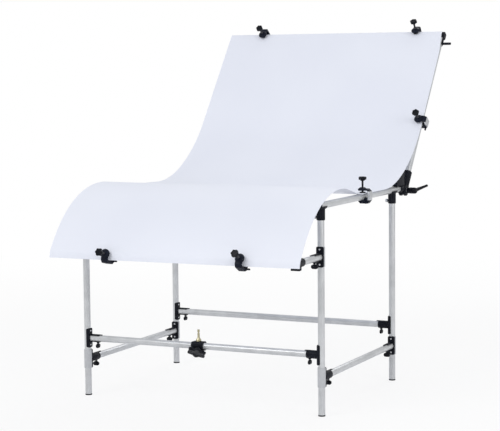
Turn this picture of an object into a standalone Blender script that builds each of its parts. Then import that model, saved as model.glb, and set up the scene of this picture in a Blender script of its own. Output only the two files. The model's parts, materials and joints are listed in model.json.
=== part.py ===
"""Product shooting table: a tube frame with a tilting back that holds one curved white sheet.

Metres, +Z up, the open front towards -Y, the origin on the floor below the middle of the table.
Left and right are as seen from the front, so the right side is at +X.
"""

from math import acos, cos, pi, radians, sin

import bmesh
import bpy
from mathutils import Matrix, Vector

# Tubes
TUBE_RADIUS = 0.0125
TUBE_WALL = 0.0015
TUBE_SIDES = 16
FOOT_THICKNESS = 0.004

# Clearance between pieces that touch
GAP = 0.0003

# Frame, between the axes of its tubes
LEG_SPACING_X = 0.98
LEG_SPACING_Y = 0.725
RAIL_HEIGHT = 0.765
CROSS_BAR_HEIGHT = 0.224
SIDE_BAR_HEIGHT = 0.142
ARM_HEIGHT = 0.581
ARM_REACH = 0.222
HINGE_BEHIND_LEGS = 0.1305
HINGE_DROP = 0.010
BACK_LENGTH = 0.7865
BACK_LEAN = radians(37)
FRONT_LEGS_FROM_MIDDLE = 0.540

# Sheet
SHEET_THICKNESS = 0.0015
SHEET_PAST_TUBE = 0.015
SHEET_EDGE_PAST_SEAT = 0.0195
SHEET_EDGE_PAST_TOP = 0.007
SHEET_FRONT_SLOPE = radians(34)
SHEET_WRAP = radians(20)
SHEET_WRAP_STEPS = 4
SHEET_CREST_BEHIND_LEGS = 0.150
SHEET_CREST_RISE = 0.0365
SHEET_FLAT_START = 0.370
SHEET_FLAT_END_BEFORE_LEGS = 0.125
SHEET_MEETS_BACK = 0.3125
SHEET_RISE_SHARE = 0.88
SHEET_CREST_PULL = 0.130
SHEET_SETTLE_PULL = 0.080
SHEET_BEND_PULL = 0.165
SHEET_CLEARANCE = 0.005
CURVE_STEPS = 10

# Sockets and flanges
SOCKET_WALL = 0.003
CHAMFER = 0.0012
PLATE_FRONT = 0.0135
PLATE_BACK = 0.001
PLATE_HALF_WIDTH = 0.014
PLATE_HALF_HEIGHT = 0.0375
PLATE_CORNER = 0.006
FLANGE_FLOOR = 0.0172
CROSS_SOCKET_END = 0.056
SIDE_SOCKET_END = 0.070
WING_BEFORE_END = 0.010
WINDOW_HALF_HEIGHT = 0.0115
SHELL_RADIUS = 0.0148
SHELL_HALF_HEIGHT = 0.036
TONGUE_WIDTH = 0.008
CROSS_TONGUE = 0.010
SIDE_TONGUE = 0.026

# Wing screws
WING_SHAFT_RADIUS = 0.003
WING_SHAFT_LENGTH = 0.005
WING_HEIGHT = 0.017
WING_HALF_WIDTH = 0.013
WING_THICKNESS = 0.007

# Tees between legs and top rails
TEE_SOCKET_DROP = 0.052
TEE_FLOOR = 0.0037
TEE_CRADLE_TOP = -0.003
TEE_CRADLE = 0.028
RAIL_IN_CRADLE = 0.016
TEE_WEB_THICKNESS = 0.012
TEE_WEB_SPREAD = 0.0035
TEE_WEB_LOW = -0.045
TEE_SCREW_DROP = 0.0415
TEE_SCREW_RADIUS = 0.007
TEE_SCREW_NECK = 0.003
TEE_SCREW_HEAD = 0.007
TEE_SCREW_CROWN = 0.0015

# Corner elbows of the front and of the back
ELBOW_ARM_LENGTH = 0.049
ELBOW_POST_LENGTH = 0.052
ELBOW_INWARD_LENGTH = 0.038
ELBOW_FLOOR = 0.018
ELBOW_FACE = 0.0075
ELBOW_KNUCKLE_ROOM = 0.0007
ELBOW_CORNER = 0.006
ELBOW_TAB_LENGTH = 0.036
ELBOW_LOW_TAB_INWARD = 0.020
ELBOW_TAB_DEPTH = 0.0095
ELBOW_TAB_THICKNESS = 0.007
ELBOW_TAB_DROP = 0.0505

# Backrest pivots
LUG_RADIUS = 0.018
LUG_HALF_THICKNESS = 0.005
NECK_HALF_HEIGHT = 0.0125
RAIL_SOCKET_START = 0.062
RAIL_SOCKET_END = 0.026
RAIL_END_BEFORE_HINGE = 0.034
CHEEK_RADIUS = 0.022
CHEEK_THICKNESS = 0.009
YOKE_WEB_START = 0.019
YOKE_SOCKET_START = 0.026
YOKE_SOCKET_END = 0.088
POST_START = 0.036
YOKE_SOCKET_WALL = 0.005
YOKE_SHOULDER_SHARE = 0.75
YOKE_SHOULDER_LAP = 0.004
FIN_THICKNESS = 0.030
FIN_BEFORE_HINGE = 0.027
FIN_LEAST_HEIGHT = 0.003

# Pivot levers
STUD_RADIUS = 0.004
NUT_RADIUS = 0.0075
NUT_THICKNESS = 0.006
WASHER_RADIUS = 0.009
WASHER_THICKNESS = 0.003
LEVER_HUB_RADIUS = 0.0125
LEVER_HUB_LENGTH = 0.040
LEVER_ARM_LENGTH = 0.072
LEVER_ARM_INWARD = 0.25
LEVER_DIRECTION = (0.035, 0.062, 0.018)
LEVER_ARM_RADIUS = 0.008
LEVER_TIP_RADIUS = 0.005

# Sheet clamps, all alike
CLAMP_WIDTH = 0.026
CLAMP_LIP = 0.014
CLAMP_SPINE = 0.009
CLAMP_EDGE_ROOM = 0.0045
CLAMP_JAW_DEPTH = 0.013
CLAMP_OPENING = 0.0235
CLAMP_ARM = 0.0075
CLAMP_HEAD_RADIUS = 0.018
CLAMP_CROWN = 0.0125
CLAMP_SHOULDER = 0.009
CLAMP_HEEL = 0.012
CLAMP_TOE = 0.006
CLAMP_TAIL_LENGTH = 0.012
CLAMP_TAIL_HEIGHT = 0.007
JAW_ARC_START = 215
JAW_ARC = 130
JAW_ARC_STEPS = 7
PAD_RADIUS = 0.0115
PAD_THICKNESS = 0.004
PAD_CROWN = 0.001
SCREW_RADIUS = 0.004
SCREW_SHOWING = 0.028
KNOB_RADIUS = 0.015
KNOB_THICKNESS = 0.012
KNOB_LOBES = 6
KNOB_LOBE_DEPTH = 0.0025
KNOB_CHAMFER = 0.0025
SCREW_IN_KNOB = 0.003

# Where the clamps grip, the first two as shares of the half width
FRONT_CLAMPS = (-0.53, 0.58)
FRONT_RIGHT_CLAMP_RAISED = radians(15)
TOP_CLAMPS = (-0.698, 0.771)
RAIL_CLAMP_BEHIND_LEGS = 0.407
POST_CLAMP_HEIGHT = 0.3345

# Light holder on the front cross bar
HOLDER_X = -0.008
HOLDER_HALF_LENGTH = 0.0235
HOLDER_HALF_WIDTH = 0.020
HOLDER_TOP = 0.0165
HOLDER_BOTTOM = 0.018
HOLDER_CORNER = 0.006
HOLDER_LOW_CORNER = 0.012
HOLDER_TAB_LENGTH = 0.009
HOLDER_TAB_HALF_WIDTH = 0.006
HOLDER_TAB_Z = (0.002, 0.0115)
HOLDER_KNOB_TILT = radians(38)
HOLDER_BOSS_RADIUS = 0.010
HOLDER_BOSS_END = 0.0205
HOLDER_PAD_RADIUS = 0.007
HOLDER_PAD_THICKNESS = 0.002
HOLDER_PAD_TRAVEL = 0.002
HOLDER_KNOB_RADIUS = 0.038
HOLDER_KNOB_THICKNESS = 0.011
HOLDER_KNOB_ROOM = 0.0025
HOLDER_KNOB_LOBES = 6
HOLDER_KNOB_LOBE_DEPTH = 0.011
HOLDER_KNOB_CHAMFER = 0.003
SPIGOT_BASE_RADIUS = 0.010
SPIGOT_BASE_HEIGHT = 0.006
SPIGOT_CONE_HEIGHT = 0.015
SPIGOT_PIN_RADIUS = 0.0045
SPIGOT_HEIGHT = 0.045
SPIGOT_CHAMFER = 0.0012

# Worked out from the sizes above
BORE_RADIUS = TUBE_RADIUS + GAP
SOCKET_RADIUS = TUBE_RADIUS + SOCKET_WALL
HOLE_RADIUS = STUD_RADIUS + GAP
LEG_X = LEG_SPACING_X / 2
FRONT_LEG_Y = -FRONT_LEGS_FROM_MIDDLE
REAR_LEG_Y = FRONT_LEG_Y + LEG_SPACING_Y
FRONT_TUBE_Y = FRONT_LEG_Y - ARM_REACH
HINGE_Y = REAR_LEG_Y + HINGE_BEHIND_LEGS
HINGE_Z = RAIL_HEIGHT - HINGE_DROP
HINGE = Vector((0, HINGE_Y, HINGE_Z))
LEG_TOP = RAIL_HEIGHT - BORE_RADIUS - TEE_FLOOR - GAP
SHEET_OFFSET = TUBE_RADIUS + GAP + SHEET_THICKNESS / 2
SHEET_FACE = SHEET_OFFSET + SHEET_THICKNESS / 2
SHEET_HALF_WIDTH = LEG_X + SHEET_PAST_TUBE
FAR = 1.0
TUBE_IN_FLANGE = FLANGE_FLOOR + GAP
TUBE_IN_ELBOW = ELBOW_FLOOR + GAP
YOKE_HALF_WIDTH = LUG_HALF_THICKNESS + GAP + CHEEK_THICKNESS
SIDES = {"left": -1, "right": 1}
LEVEL = Vector((1, 0))

# Turns of local axes
ALONG_X = Matrix.Rotation(radians(90), 4, "Y")
ALONG_Y = Matrix.Rotation(radians(-90), 4, "X")
ALONG_FRONT = Matrix.Rotation(radians(90), 4, "X")
OUTLINE_YZ = Matrix(((0, 0, 1, 0), (1, 0, 0, 0), (0, 1, 0, 0), (0, 0, 0, 1)))
LEANING = Matrix.Rotation(-BACK_LEAN, 4, "X")
SLOPING = Matrix.Rotation(-SHEET_FRONT_SLOPE, 4, "X")
HANGING = Matrix.Rotation(SHEET_WRAP - SHEET_FRONT_SLOPE, 4, "X")
WRAPPED = Matrix.Rotation(-SHEET_WRAP, 4, "X")
MIRROR_X = Matrix.Scale(-1, 4, Vector((1, 0, 0)))


def clear_scene():
    for old in list(bpy.data.objects):
        bpy.data.objects.remove(old, do_unlink=True)


# Materials

def material(name, color, roughness, metallic=0.0):
    made = bpy.data.materials.new(name)
    made.use_nodes = True
    shader = made.node_tree.nodes["Principled BSDF"]
    shader.inputs["Base Color"].default_value = (*color, 1)
    shader.inputs["Roughness"].default_value = roughness
    shader.inputs["Metallic"].default_value = metallic
    return made


# Shapes

def mesh_from(name, rings, closed_loop):
    """A closed mesh skinned over rings of points: the last ring meets the first, or both are capped."""
    shape = bmesh.new()
    made = [[shape.verts.new(point) for point in ring] for ring in rings]
    pairs = list(zip(made, made[1:]))
    if closed_loop:
        pairs.append((made[-1], made[0]))
    for low, high in pairs:
        for here in range(len(low)):
            after = (here + 1) % len(low)
            shape.faces.new((low[here], low[after], high[after], high[here]))
    if not closed_loop:
        shape.faces.new(made[0])
        shape.faces.new(made[-1])
    bmesh.ops.recalc_face_normals(shape, faces=shape.faces)
    mesh = bpy.data.meshes.new(name)
    shape.to_mesh(mesh)
    shape.free()
    return mesh


def circle(radius, height, sides):
    angles = [2 * pi * k / sides for k in range(sides)]
    return [(radius * cos(angle), radius * sin(angle), height) for angle in angles]


def turned(profile, sides=TUBE_SIDES, closed_loop=False):
    """A shape turned round Z from (radius, height) pairs."""
    return mesh_from("turned", [circle(radius, height, sides) for radius, height in profile], closed_loop)


def rod(radius, low, high, sides=TUBE_SIDES, chamfer=0.0):
    """A round bar along Z, its high end chamfered where a chamfer is given."""
    if not chamfer:
        return turned([(radius, low), (radius, high)], sides)
    return turned([(radius, low), (radius, high - chamfer), (radius - chamfer, high)], sides)


def prism(outline, low, high):
    """An outline in XY drawn out along Z."""
    return mesh_from("prism", [[(x, y, z) for x, y in outline] for z in (low, high)], False)


def block(x, y, z):
    return prism([(x[0], y[0]), (x[1], y[0]), (x[1], y[1]), (x[0], y[1])], z[0], z[1])


def chamfered_outline(half_width, half_height, corner):
    across = half_width - corner
    up = half_height - corner
    return [
        (-across, -half_height), (across, -half_height), (half_width, -up), (half_width, up),
        (across, half_height), (-across, half_height), (-half_width, up), (-half_width, -up),
    ]


def lobed(radius, lobes, depth, low, high, chamfer):
    """A grip knob round Z with rounded lobes, its high side chamfered."""
    points = 4 * lobes
    rings = []
    for scale, height in ((1, low), (1, high - chamfer), (1 - chamfer / radius, high)):
        ring = []
        for k in range(points):
            angle = 2 * pi * k / points
            reach = scale * (radius - depth * (1 - cos(lobes * angle)) / 2)
            ring.append((reach * cos(angle), reach * sin(angle), height))
        rings.append(ring)
    return mesh_from("lobed", rings, False)


def placed(mesh, *turns):
    """A copy of the mesh under the product of the given matrices."""
    copy = mesh.copy()
    matrix = Matrix.Identity(4)
    for turn in turns:
        matrix = matrix @ turn
    copy.transform(matrix)
    if matrix.determinant() < 0:
        copy.flip_normals()
    return copy


def moved(mesh, x=0.0, y=0.0, z=0.0):
    return placed(mesh, Matrix.Translation((x, y, z)))


def combined(base, joins=(), cuts=()):
    """One new mesh: the base with the joins added, then the cuts taken away."""
    linked = bpy.context.scene.collection.objects
    holder = bpy.data.objects.new("combining", base)
    linked.link(holder)
    helpers = []
    for operation, meshes in (("UNION", joins), ("DIFFERENCE", cuts)):
        for mesh in meshes:
            helper = bpy.data.objects.new("helper", mesh)
            linked.link(helper)
            helpers.append(helper)
            modifier = holder.modifiers.new(operation, "BOOLEAN")
            modifier.operation = operation
            modifier.object = helper
    graph = bpy.context.evaluated_depsgraph_get()
    result = bpy.data.meshes.new_from_object(holder.evaluated_get(graph))
    for used in [holder, *helpers]:
        bpy.data.objects.remove(used, do_unlink=True)
    return result


def node(name, mesh, finish, place=None, parent=None):
    """The object of one physical piece."""
    own = mesh.copy()
    own.name = name
    own.materials.clear()
    own.materials.append(finish)
    own.shade_smooth()
    own.set_sharp_from_angle(angle=radians(35))
    made = bpy.data.objects.new(name, own)
    bpy.context.scene.collection.objects.link(made)
    made.parent = parent
    if place is not None:
        made.matrix_local = place
    return made


def at(x=0.0, y=0.0, z=0.0):
    return Matrix.Translation((x, y, z))


# Lines of the sheet, as (y, z) points

def bezier(start, start_pull, end_pull, end, steps):
    """The points of a cubic curve, without its first."""
    points = []
    for k in range(1, steps + 1):
        t = k / steps
        s = 1 - t
        points.append(s ** 3 * start + 3 * s * s * t * start_pull + 3 * s * t * t * end_pull + t ** 3 * end)
    return points


def round_tube(axis, slope, turn):
    """The sheet's points over a tube as it goes up, from one slope off the upright through a turn."""
    points = []
    for k in range(SHEET_WRAP_STEPS + 1):
        angle = slope + turn * k / SHEET_WRAP_STEPS
        points.append(axis + Vector((-cos(angle), sin(angle))) * SHEET_OFFSET)
    return points


def seat_line():
    """From the sheet's front edge over the front tube and the crest to the end of the flat."""
    edge_slope = SHEET_FRONT_SLOPE - SHEET_WRAP
    up_edge = Vector((sin(edge_slope), cos(edge_slope)))
    up_slope = Vector((sin(SHEET_FRONT_SLOPE), cos(SHEET_FRONT_SLOPE)))
    over_tube = round_tube(Vector((FRONT_TUBE_Y, ARM_HEIGHT)), edge_slope, SHEET_WRAP)
    leaves_tube = over_tube[-1] + up_slope * SHEET_EDGE_PAST_SEAT
    flat_height = RAIL_HEIGHT + SHEET_OFFSET
    crest = Vector((FRONT_LEG_Y + SHEET_CREST_BEHIND_LEGS, flat_height + SHEET_CREST_RISE))
    flat_start = Vector((FRONT_LEG_Y + SHEET_FLAT_START, flat_height))
    rise_pull = (crest.y - leaves_tube.y) * SHEET_RISE_SHARE
    line = [over_tube[0] - up_edge * SHEET_EDGE_PAST_SEAT, *over_tube, leaves_tube]
    line += bezier(
        leaves_tube, leaves_tube + up_slope * rise_pull, crest - LEVEL * SHEET_CREST_PULL, crest, CURVE_STEPS,
    )
    line += bezier(
        crest, crest + LEVEL * SHEET_SETTLE_PULL, flat_start - LEVEL * SHEET_SETTLE_PULL, flat_start,
        CURVE_STEPS,
    )
    line.append(flat_end())
    return line


def flat_end():
    return Vector((REAR_LEG_Y - SHEET_FLAT_END_BEFORE_LEGS, RAIL_HEIGHT + SHEET_OFFSET))


def bend_line():
    """From the flat up to the posts."""
    up_post = Vector((sin(BACK_LEAN), cos(BACK_LEAN)))
    off_post = Vector((-up_post.y, up_post.x))
    meets = HINGE.yz + up_post * SHEET_MEETS_BACK + off_post * SHEET_OFFSET
    start = flat_end() + LEVEL * GAP
    end = meets - up_post * GAP
    return [start] + bezier(
        start, start + LEVEL * SHEET_BEND_PULL, end - up_post * SHEET_BEND_PULL, end, CURVE_STEPS,
    )


def fin_line():
    """The line a clearance below the sheet's bend, from the hinge."""
    line = bend_line()
    below = []
    for before, after in zip(line, line[1:]):
        along = (after - before).normalized()
        middle = (before + after) / 2
        below.append(middle + Vector((along.y, -along.x)) * SHEET_CLEARANCE - HINGE.yz)
    return below


# Tubes

def tube(length, closed_end=False):
    """A tube from the origin up +Z, with a flat foot at the origin if its end is closed."""
    inner = TUBE_RADIUS - TUBE_WALL
    if not closed_end:
        profile = [(TUBE_RADIUS, 0), (TUBE_RADIUS, length), (inner, length), (inner, 0)]
        return turned(profile, closed_loop=True)
    bore = rod(inner, FOOT_THICKNESS, length + FOOT_THICKNESS)
    return combined(rod(TUBE_RADIUS, 0, length), cuts=[bore])


def add_frame_tubes(finish):
    leg = tube(LEG_TOP, closed_end=True)
    rail_front = FRONT_LEG_Y - TEE_CRADLE + RAIL_IN_CRADLE
    rail = tube(HINGE_Y - RAIL_END_BEFORE_HINGE - rail_front, closed_end=True)
    side_bar = tube(LEG_SPACING_Y - 2 * TUBE_IN_FLANGE)
    arm = tube(ARM_REACH - TUBE_IN_FLANGE - TUBE_IN_ELBOW)
    cross_bar = tube(LEG_SPACING_X - 2 * TUBE_IN_FLANGE)
    front_tube = tube(LEG_SPACING_X - 2 * TUBE_IN_ELBOW)
    for side, sign in SIDES.items():
        x = sign * LEG_X
        node(f"leg_front_{side}", leg, finish, at(x, FRONT_LEG_Y))
        node(f"leg_rear_{side}", leg, finish, at(x, REAR_LEG_Y))
        node(f"top_rail_{side}", rail, finish, at(x, rail_front, RAIL_HEIGHT) @ ALONG_Y)
        side_place = at(x, FRONT_LEG_Y + TUBE_IN_FLANGE, SIDE_BAR_HEIGHT) @ ALONG_Y
        node(f"side_bar_{side}", side_bar, finish, side_place)
        node(f"front_arm_{side}", arm, finish, at(x, FRONT_TUBE_Y + TUBE_IN_ELBOW, ARM_HEIGHT) @ ALONG_Y)
    for name, y in (("front_cross_bar", FRONT_LEG_Y), ("rear_cross_bar", REAR_LEG_Y)):
        node(name, cross_bar, finish, at(TUBE_IN_FLANGE - LEG_X, y, CROSS_BAR_HEIGHT) @ ALONG_X)
    front_place = at(TUBE_IN_ELBOW - LEG_X, FRONT_TUBE_Y, ARM_HEIGHT) @ ALONG_X
    node("front_cross_tube", front_tube, finish, front_place)


def add_back_tubes(finish, back):
    post = tube(BACK_LENGTH - TUBE_IN_ELBOW - POST_START)
    top = tube(LEG_SPACING_X - 2 * TUBE_IN_ELBOW)
    for side, sign in SIDES.items():
        node(f"back_post_{side}", post, finish, at(sign * LEG_X, 0, POST_START), back)
    node("back_cross_tube", top, finish, at(TUBE_IN_ELBOW - LEG_X, 0, BACK_LENGTH) @ ALONG_X, back)


# Connectors

def wing_screw():
    """A wing screw that hangs down -Z from the origin, its wing across Y."""
    top = -WING_SHAFT_LENGTH + 2 * GAP
    low = -WING_SHAFT_LENGTH - WING_HEIGHT
    waist = WING_SHAFT_RADIUS + 0.002
    outline = [
        (-waist, top), (-WING_HALF_WIDTH, top - WING_HEIGHT * 0.3),
        (-WING_HALF_WIDTH, low + WING_HEIGHT * 0.2), (-WING_HALF_WIDTH * 0.7, low),
        (WING_HALF_WIDTH * 0.7, low), (WING_HALF_WIDTH, low + WING_HEIGHT * 0.2),
        (WING_HALF_WIDTH, top - WING_HEIGHT * 0.3), (waist, top),
    ]
    wing = placed(prism(outline, -WING_THICKNESS / 2, WING_THICKNESS / 2), OUTLINE_YZ)
    shaft = rod(WING_SHAFT_RADIUS, -WING_SHAFT_LENGTH - WING_HEIGHT / 3, SOCKET_WALL / 2, sides=10)
    return combined(wing, [shaft])


def flange(socket_end, tongue_length, window_side, with_shell):
    """A flange whose leg runs up Z through the origin, its socket along +X and open along one side."""
    outline = chamfered_outline(PLATE_HALF_WIDTH, PLATE_HALF_HEIGHT, PLATE_CORNER)
    plate = placed(prism(outline, PLATE_BACK, PLATE_FRONT), OUTLINE_YZ)
    socket_start = (PLATE_BACK + PLATE_FRONT) / 2
    socket = placed(rod(SOCKET_RADIUS, socket_start, socket_end, chamfer=CHAMFER), ALONG_X)
    tongue = block(
        (socket_end - 2 * CHAMFER, socket_end + tongue_length),
        (-TONGUE_WIDTH / 2, TONGUE_WIDTH / 2),
        (BORE_RADIUS + GAP, SOCKET_RADIUS - CHAMFER / 2),
    )
    wing = moved(wing_screw(), x=socket_end - WING_BEFORE_END, z=-SOCKET_RADIUS)
    joins = [socket, tongue, wing]
    if with_shell:
        joins.append(rod(SHELL_RADIUS, -SHELL_HALF_HEIGHT, SHELL_HALF_HEIGHT))
    leg_bore = rod(BORE_RADIUS, -PLATE_HALF_HEIGHT * 2, PLATE_HALF_HEIGHT * 2)
    tube_bore = placed(rod(BORE_RADIUS, FLANGE_FLOOR, socket_end * 2), ALONG_X)
    window = block(
        (FLANGE_FLOOR, socket_end * 2), sorted((TONGUE_WIDTH / 2 * window_side, FAR * window_side)),
        (-WINDOW_HALF_HEIGHT, WINDOW_HALF_HEIGHT),
    )
    return combined(plate, joins, [leg_bore, tube_bore, window])


def add_flanges(finish):
    cross = flange(CROSS_SOCKET_END, CROSS_TONGUE, -1, False)
    side_flange = flange(SIDE_SOCKET_END, SIDE_TONGUE, 1, True)
    to_rear = Matrix.Rotation(radians(90), 4, "Z")
    to_front = Matrix.Rotation(radians(-90), 4, "Z")
    for side, sign in SIDES.items():
        x = sign * LEG_X
        inward = Matrix.Rotation(radians(180), 4, "Z") if sign > 0 else Matrix.Identity(4)
        node(f"cross_flange_front_{side}", cross, finish, at(x, FRONT_LEG_Y, CROSS_BAR_HEIGHT) @ inward)
        node(f"cross_flange_rear_{side}", cross, finish, at(x, REAR_LEG_Y, CROSS_BAR_HEIGHT) @ inward)
        node(f"side_flange_front_{side}", side_flange, finish, at(x, FRONT_LEG_Y, SIDE_BAR_HEIGHT) @ to_rear)
        node(f"side_flange_rear_{side}", side_flange, finish, at(x, REAR_LEG_Y, SIDE_BAR_HEIGHT) @ to_front)
        node(f"arm_flange_{side}", side_flange, finish, at(x, FRONT_LEG_Y, ARM_HEIGHT) @ to_front)


def tee(sign):
    """A tee with its rail along Y through the origin and its leg below."""
    cradle = placed(rod(SOCKET_RADIUS, -TEE_CRADLE, TEE_CRADLE, chamfer=CHAMFER), ALONG_Y)
    socket = rod(SOCKET_RADIUS, -TEE_SOCKET_DROP, TEE_CRADLE_TOP * 2)
    web_foot = SOCKET_RADIUS + TEE_WEB_SPREAD
    web_top = TEE_CRADLE - CHAMFER * 2
    outline = [
        (-web_top, -TUBE_RADIUS), (-web_foot, TEE_WEB_LOW), (web_foot, TEE_WEB_LOW), (web_top, -TUBE_RADIUS),
    ]
    web = placed(prism(outline, -TEE_WEB_THICKNESS / 2, TEE_WEB_THICKNESS / 2), OUTLINE_YZ)
    head_start = SOCKET_RADIUS + TEE_SCREW_NECK
    head_end = head_start + TEE_SCREW_HEAD
    screw = placed(
        turned([
            (TEE_SCREW_RADIUS * 0.6, BORE_RADIUS + SOCKET_WALL / 2), (TEE_SCREW_RADIUS * 0.6, head_start),
            (TEE_SCREW_RADIUS, head_start), (TEE_SCREW_RADIUS, head_end),
            (TEE_SCREW_RADIUS * 0.7, head_end + TEE_SCREW_CROWN),
        ], sides=12),
        at(0, 0, -TEE_SCREW_DROP), Matrix.Rotation(radians(-90 * sign), 4, "Y"),
    )
    leg_bore = rod(BORE_RADIUS, -TEE_SOCKET_DROP * 2, -BORE_RADIUS - TEE_FLOOR)
    rail_bore = placed(rod(BORE_RADIUS, -FAR, FAR), ALONG_Y)
    above = block((-FAR, FAR), (-FAR, FAR), (TEE_CRADLE_TOP, FAR))
    return combined(cradle, [socket, web, screw], [leg_bore, rail_bore, above])


def add_tees(finish):
    for side, sign in SIDES.items():
        shape = tee(sign)
        node(f"tee_front_{side}", shape, finish, at(sign * LEG_X, FRONT_LEG_Y, RAIL_HEIGHT))
        node(f"tee_rear_{side}", shape, finish, at(sign * LEG_X, REAR_LEG_Y, RAIL_HEIGHT))


def elbow(turn, length, face_turns, tab):
    """A right-hand corner at the origin: one socket inward along -X, one along the turned +Z."""
    half = SOCKET_RADIUS + ELBOW_KNUCKLE_ROOM
    knuckle = placed(prism(chamfered_outline(half, half, ELBOW_CORNER), -half, half), turn, ALONG_FRONT)
    start = SOCKET_RADIUS / 2
    inward = placed(rod(SOCKET_RADIUS, start, ELBOW_INWARD_LENGTH, chamfer=CHAMFER), ALONG_X.inverted())
    along = placed(rod(SOCKET_RADIUS, start, length, chamfer=CHAMFER), turn)
    inward_bore = placed(rod(BORE_RADIUS, ELBOW_FLOOR, ELBOW_INWARD_LENGTH * 2), ALONG_X.inverted())
    along_bore = placed(rod(BORE_RADIUS, ELBOW_FLOOR, length * 2), turn)
    face = block((-FAR, FAR), (-FAR, -ELBOW_FACE), (-FAR, FAR))
    faces = [placed(face, face_turn) for face_turn in face_turns]
    return combined(knuckle, [inward, along, tab], [inward_bore, along_bore, *faces])


def add_elbows(finish, back):
    half = ELBOW_TAB_THICKNESS / 2
    inner = SOCKET_RADIUS - CHAMFER
    off_socket = (inner, SOCKET_RADIUS + ELBOW_TAB_DEPTH)
    below = block((-ELBOW_LOW_TAB_INWARD, SOCKET_RADIUS), (-half, half), (-off_socket[1], -inner))
    behind = block((-ELBOW_TAB_LENGTH, -inner), off_socket, (-half, half))
    post_tab_z = (-ELBOW_TAB_DROP, ELBOW_TAB_DEPTH - ELBOW_TAB_DROP)
    outward = block((inner, SOCKET_RADIUS + ELBOW_TAB_LENGTH), (-half, half), post_tab_z)
    inward = block((-SOCKET_RADIUS - ELBOW_TAB_LENGTH, -inner), (-half, half), post_tab_z)
    down = Matrix.Rotation(radians(180), 4, "X")
    tabs = {"left": (behind, inward), "right": (below, outward)}
    for side, sign in SIDES.items():
        flip = MIRROR_X if sign < 0 else Matrix.Identity(4)
        front = elbow(ALONG_Y, ELBOW_ARM_LENGTH, (SLOPING, HANGING), tabs[side][0])
        rear = elbow(down, ELBOW_POST_LENGTH, (Matrix.Identity(4), WRAPPED), tabs[side][1])
        node(f"front_elbow_{side}", placed(front, flip), finish, at(sign * LEG_X, FRONT_TUBE_Y, ARM_HEIGHT))
        node(f"back_elbow_{side}", placed(rear, flip), finish, at(sign * LEG_X, 0, BACK_LENGTH), back)


# Backrest pivots

def pivot_base():
    """The piece on a rail's rear end, its lug round the hinge at the origin, a fin below the sheet's bend."""
    lug = placed(rod(LUG_RADIUS, -LUG_HALF_THICKNESS, LUG_HALF_THICKNESS, sides=24), ALONG_X)
    neck = block(
        (-LUG_HALF_THICKNESS, LUG_HALF_THICKNESS), (-RAIL_SOCKET_END - CHAMFER * 2, 0),
        (-NECK_HALF_HEIGHT, NECK_HALF_HEIGHT),
    )
    rail = at(0, 0, HINGE_DROP)
    sleeve = rod(SOCKET_RADIUS, RAIL_SOCKET_END, RAIL_SOCKET_START, chamfer=CHAMFER)
    socket = placed(sleeve, rail, ALONG_FRONT)
    foot = HINGE_DROP + BORE_RADIUS + GAP
    top = []
    for point in fin_line():
        if point.y > foot + FIN_LEAST_HEIGHT and point.x < -FIN_BEFORE_HINGE:
            top.append((point.x, point.y))
    outline = [(top[0][0], foot), (-FIN_BEFORE_HINGE, foot), (-FIN_BEFORE_HINGE, top[-1][1])] + top[::-1]
    fin = placed(prism(outline, -FIN_THICKNESS / 2, FIN_THICKNESS / 2), OUTLINE_YZ)
    rail_bore = placed(rod(BORE_RADIUS, -FAR, GAP - RAIL_END_BEFORE_HINGE), rail, ALONG_Y)
    stud_hole = placed(rod(HOLE_RADIUS, -FAR, FAR, sides=16), ALONG_X)
    return combined(socket, [neck, lug, fin], [rail_bore, stud_hole])


def pivot_yoke():
    """The piece on a post's lower end: two cheeks round the hinge at the origin, its post up +Z."""
    cheeks = placed(rod(CHEEK_RADIUS, -YOKE_HALF_WIDTH, YOKE_HALF_WIDTH, sides=24), ALONG_X)
    shoulder_half = CHEEK_RADIUS * YOKE_SHOULDER_SHARE
    shoulder_top = YOKE_SOCKET_START + YOKE_SHOULDER_LAP
    shoulder = block((-YOKE_HALF_WIDTH, YOKE_HALF_WIDTH), (-shoulder_half, shoulder_half), (0, shoulder_top))
    socket = rod(TUBE_RADIUS + YOKE_SOCKET_WALL, YOKE_SOCKET_START, YOKE_SOCKET_END, chamfer=CHAMFER)
    slot_half = LUG_HALF_THICKNESS + GAP
    slot = block((-slot_half, slot_half), (-FAR, FAR), (-FAR, YOKE_WEB_START))
    post_bore = rod(BORE_RADIUS, POST_START - GAP, YOKE_SOCKET_END * 2)
    stud_hole = placed(rod(HOLE_RADIUS, -FAR, FAR, sides=16), ALONG_X)
    return combined(shoulder, [cheeks, socket], [slot, post_bore, stud_hole])


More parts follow.
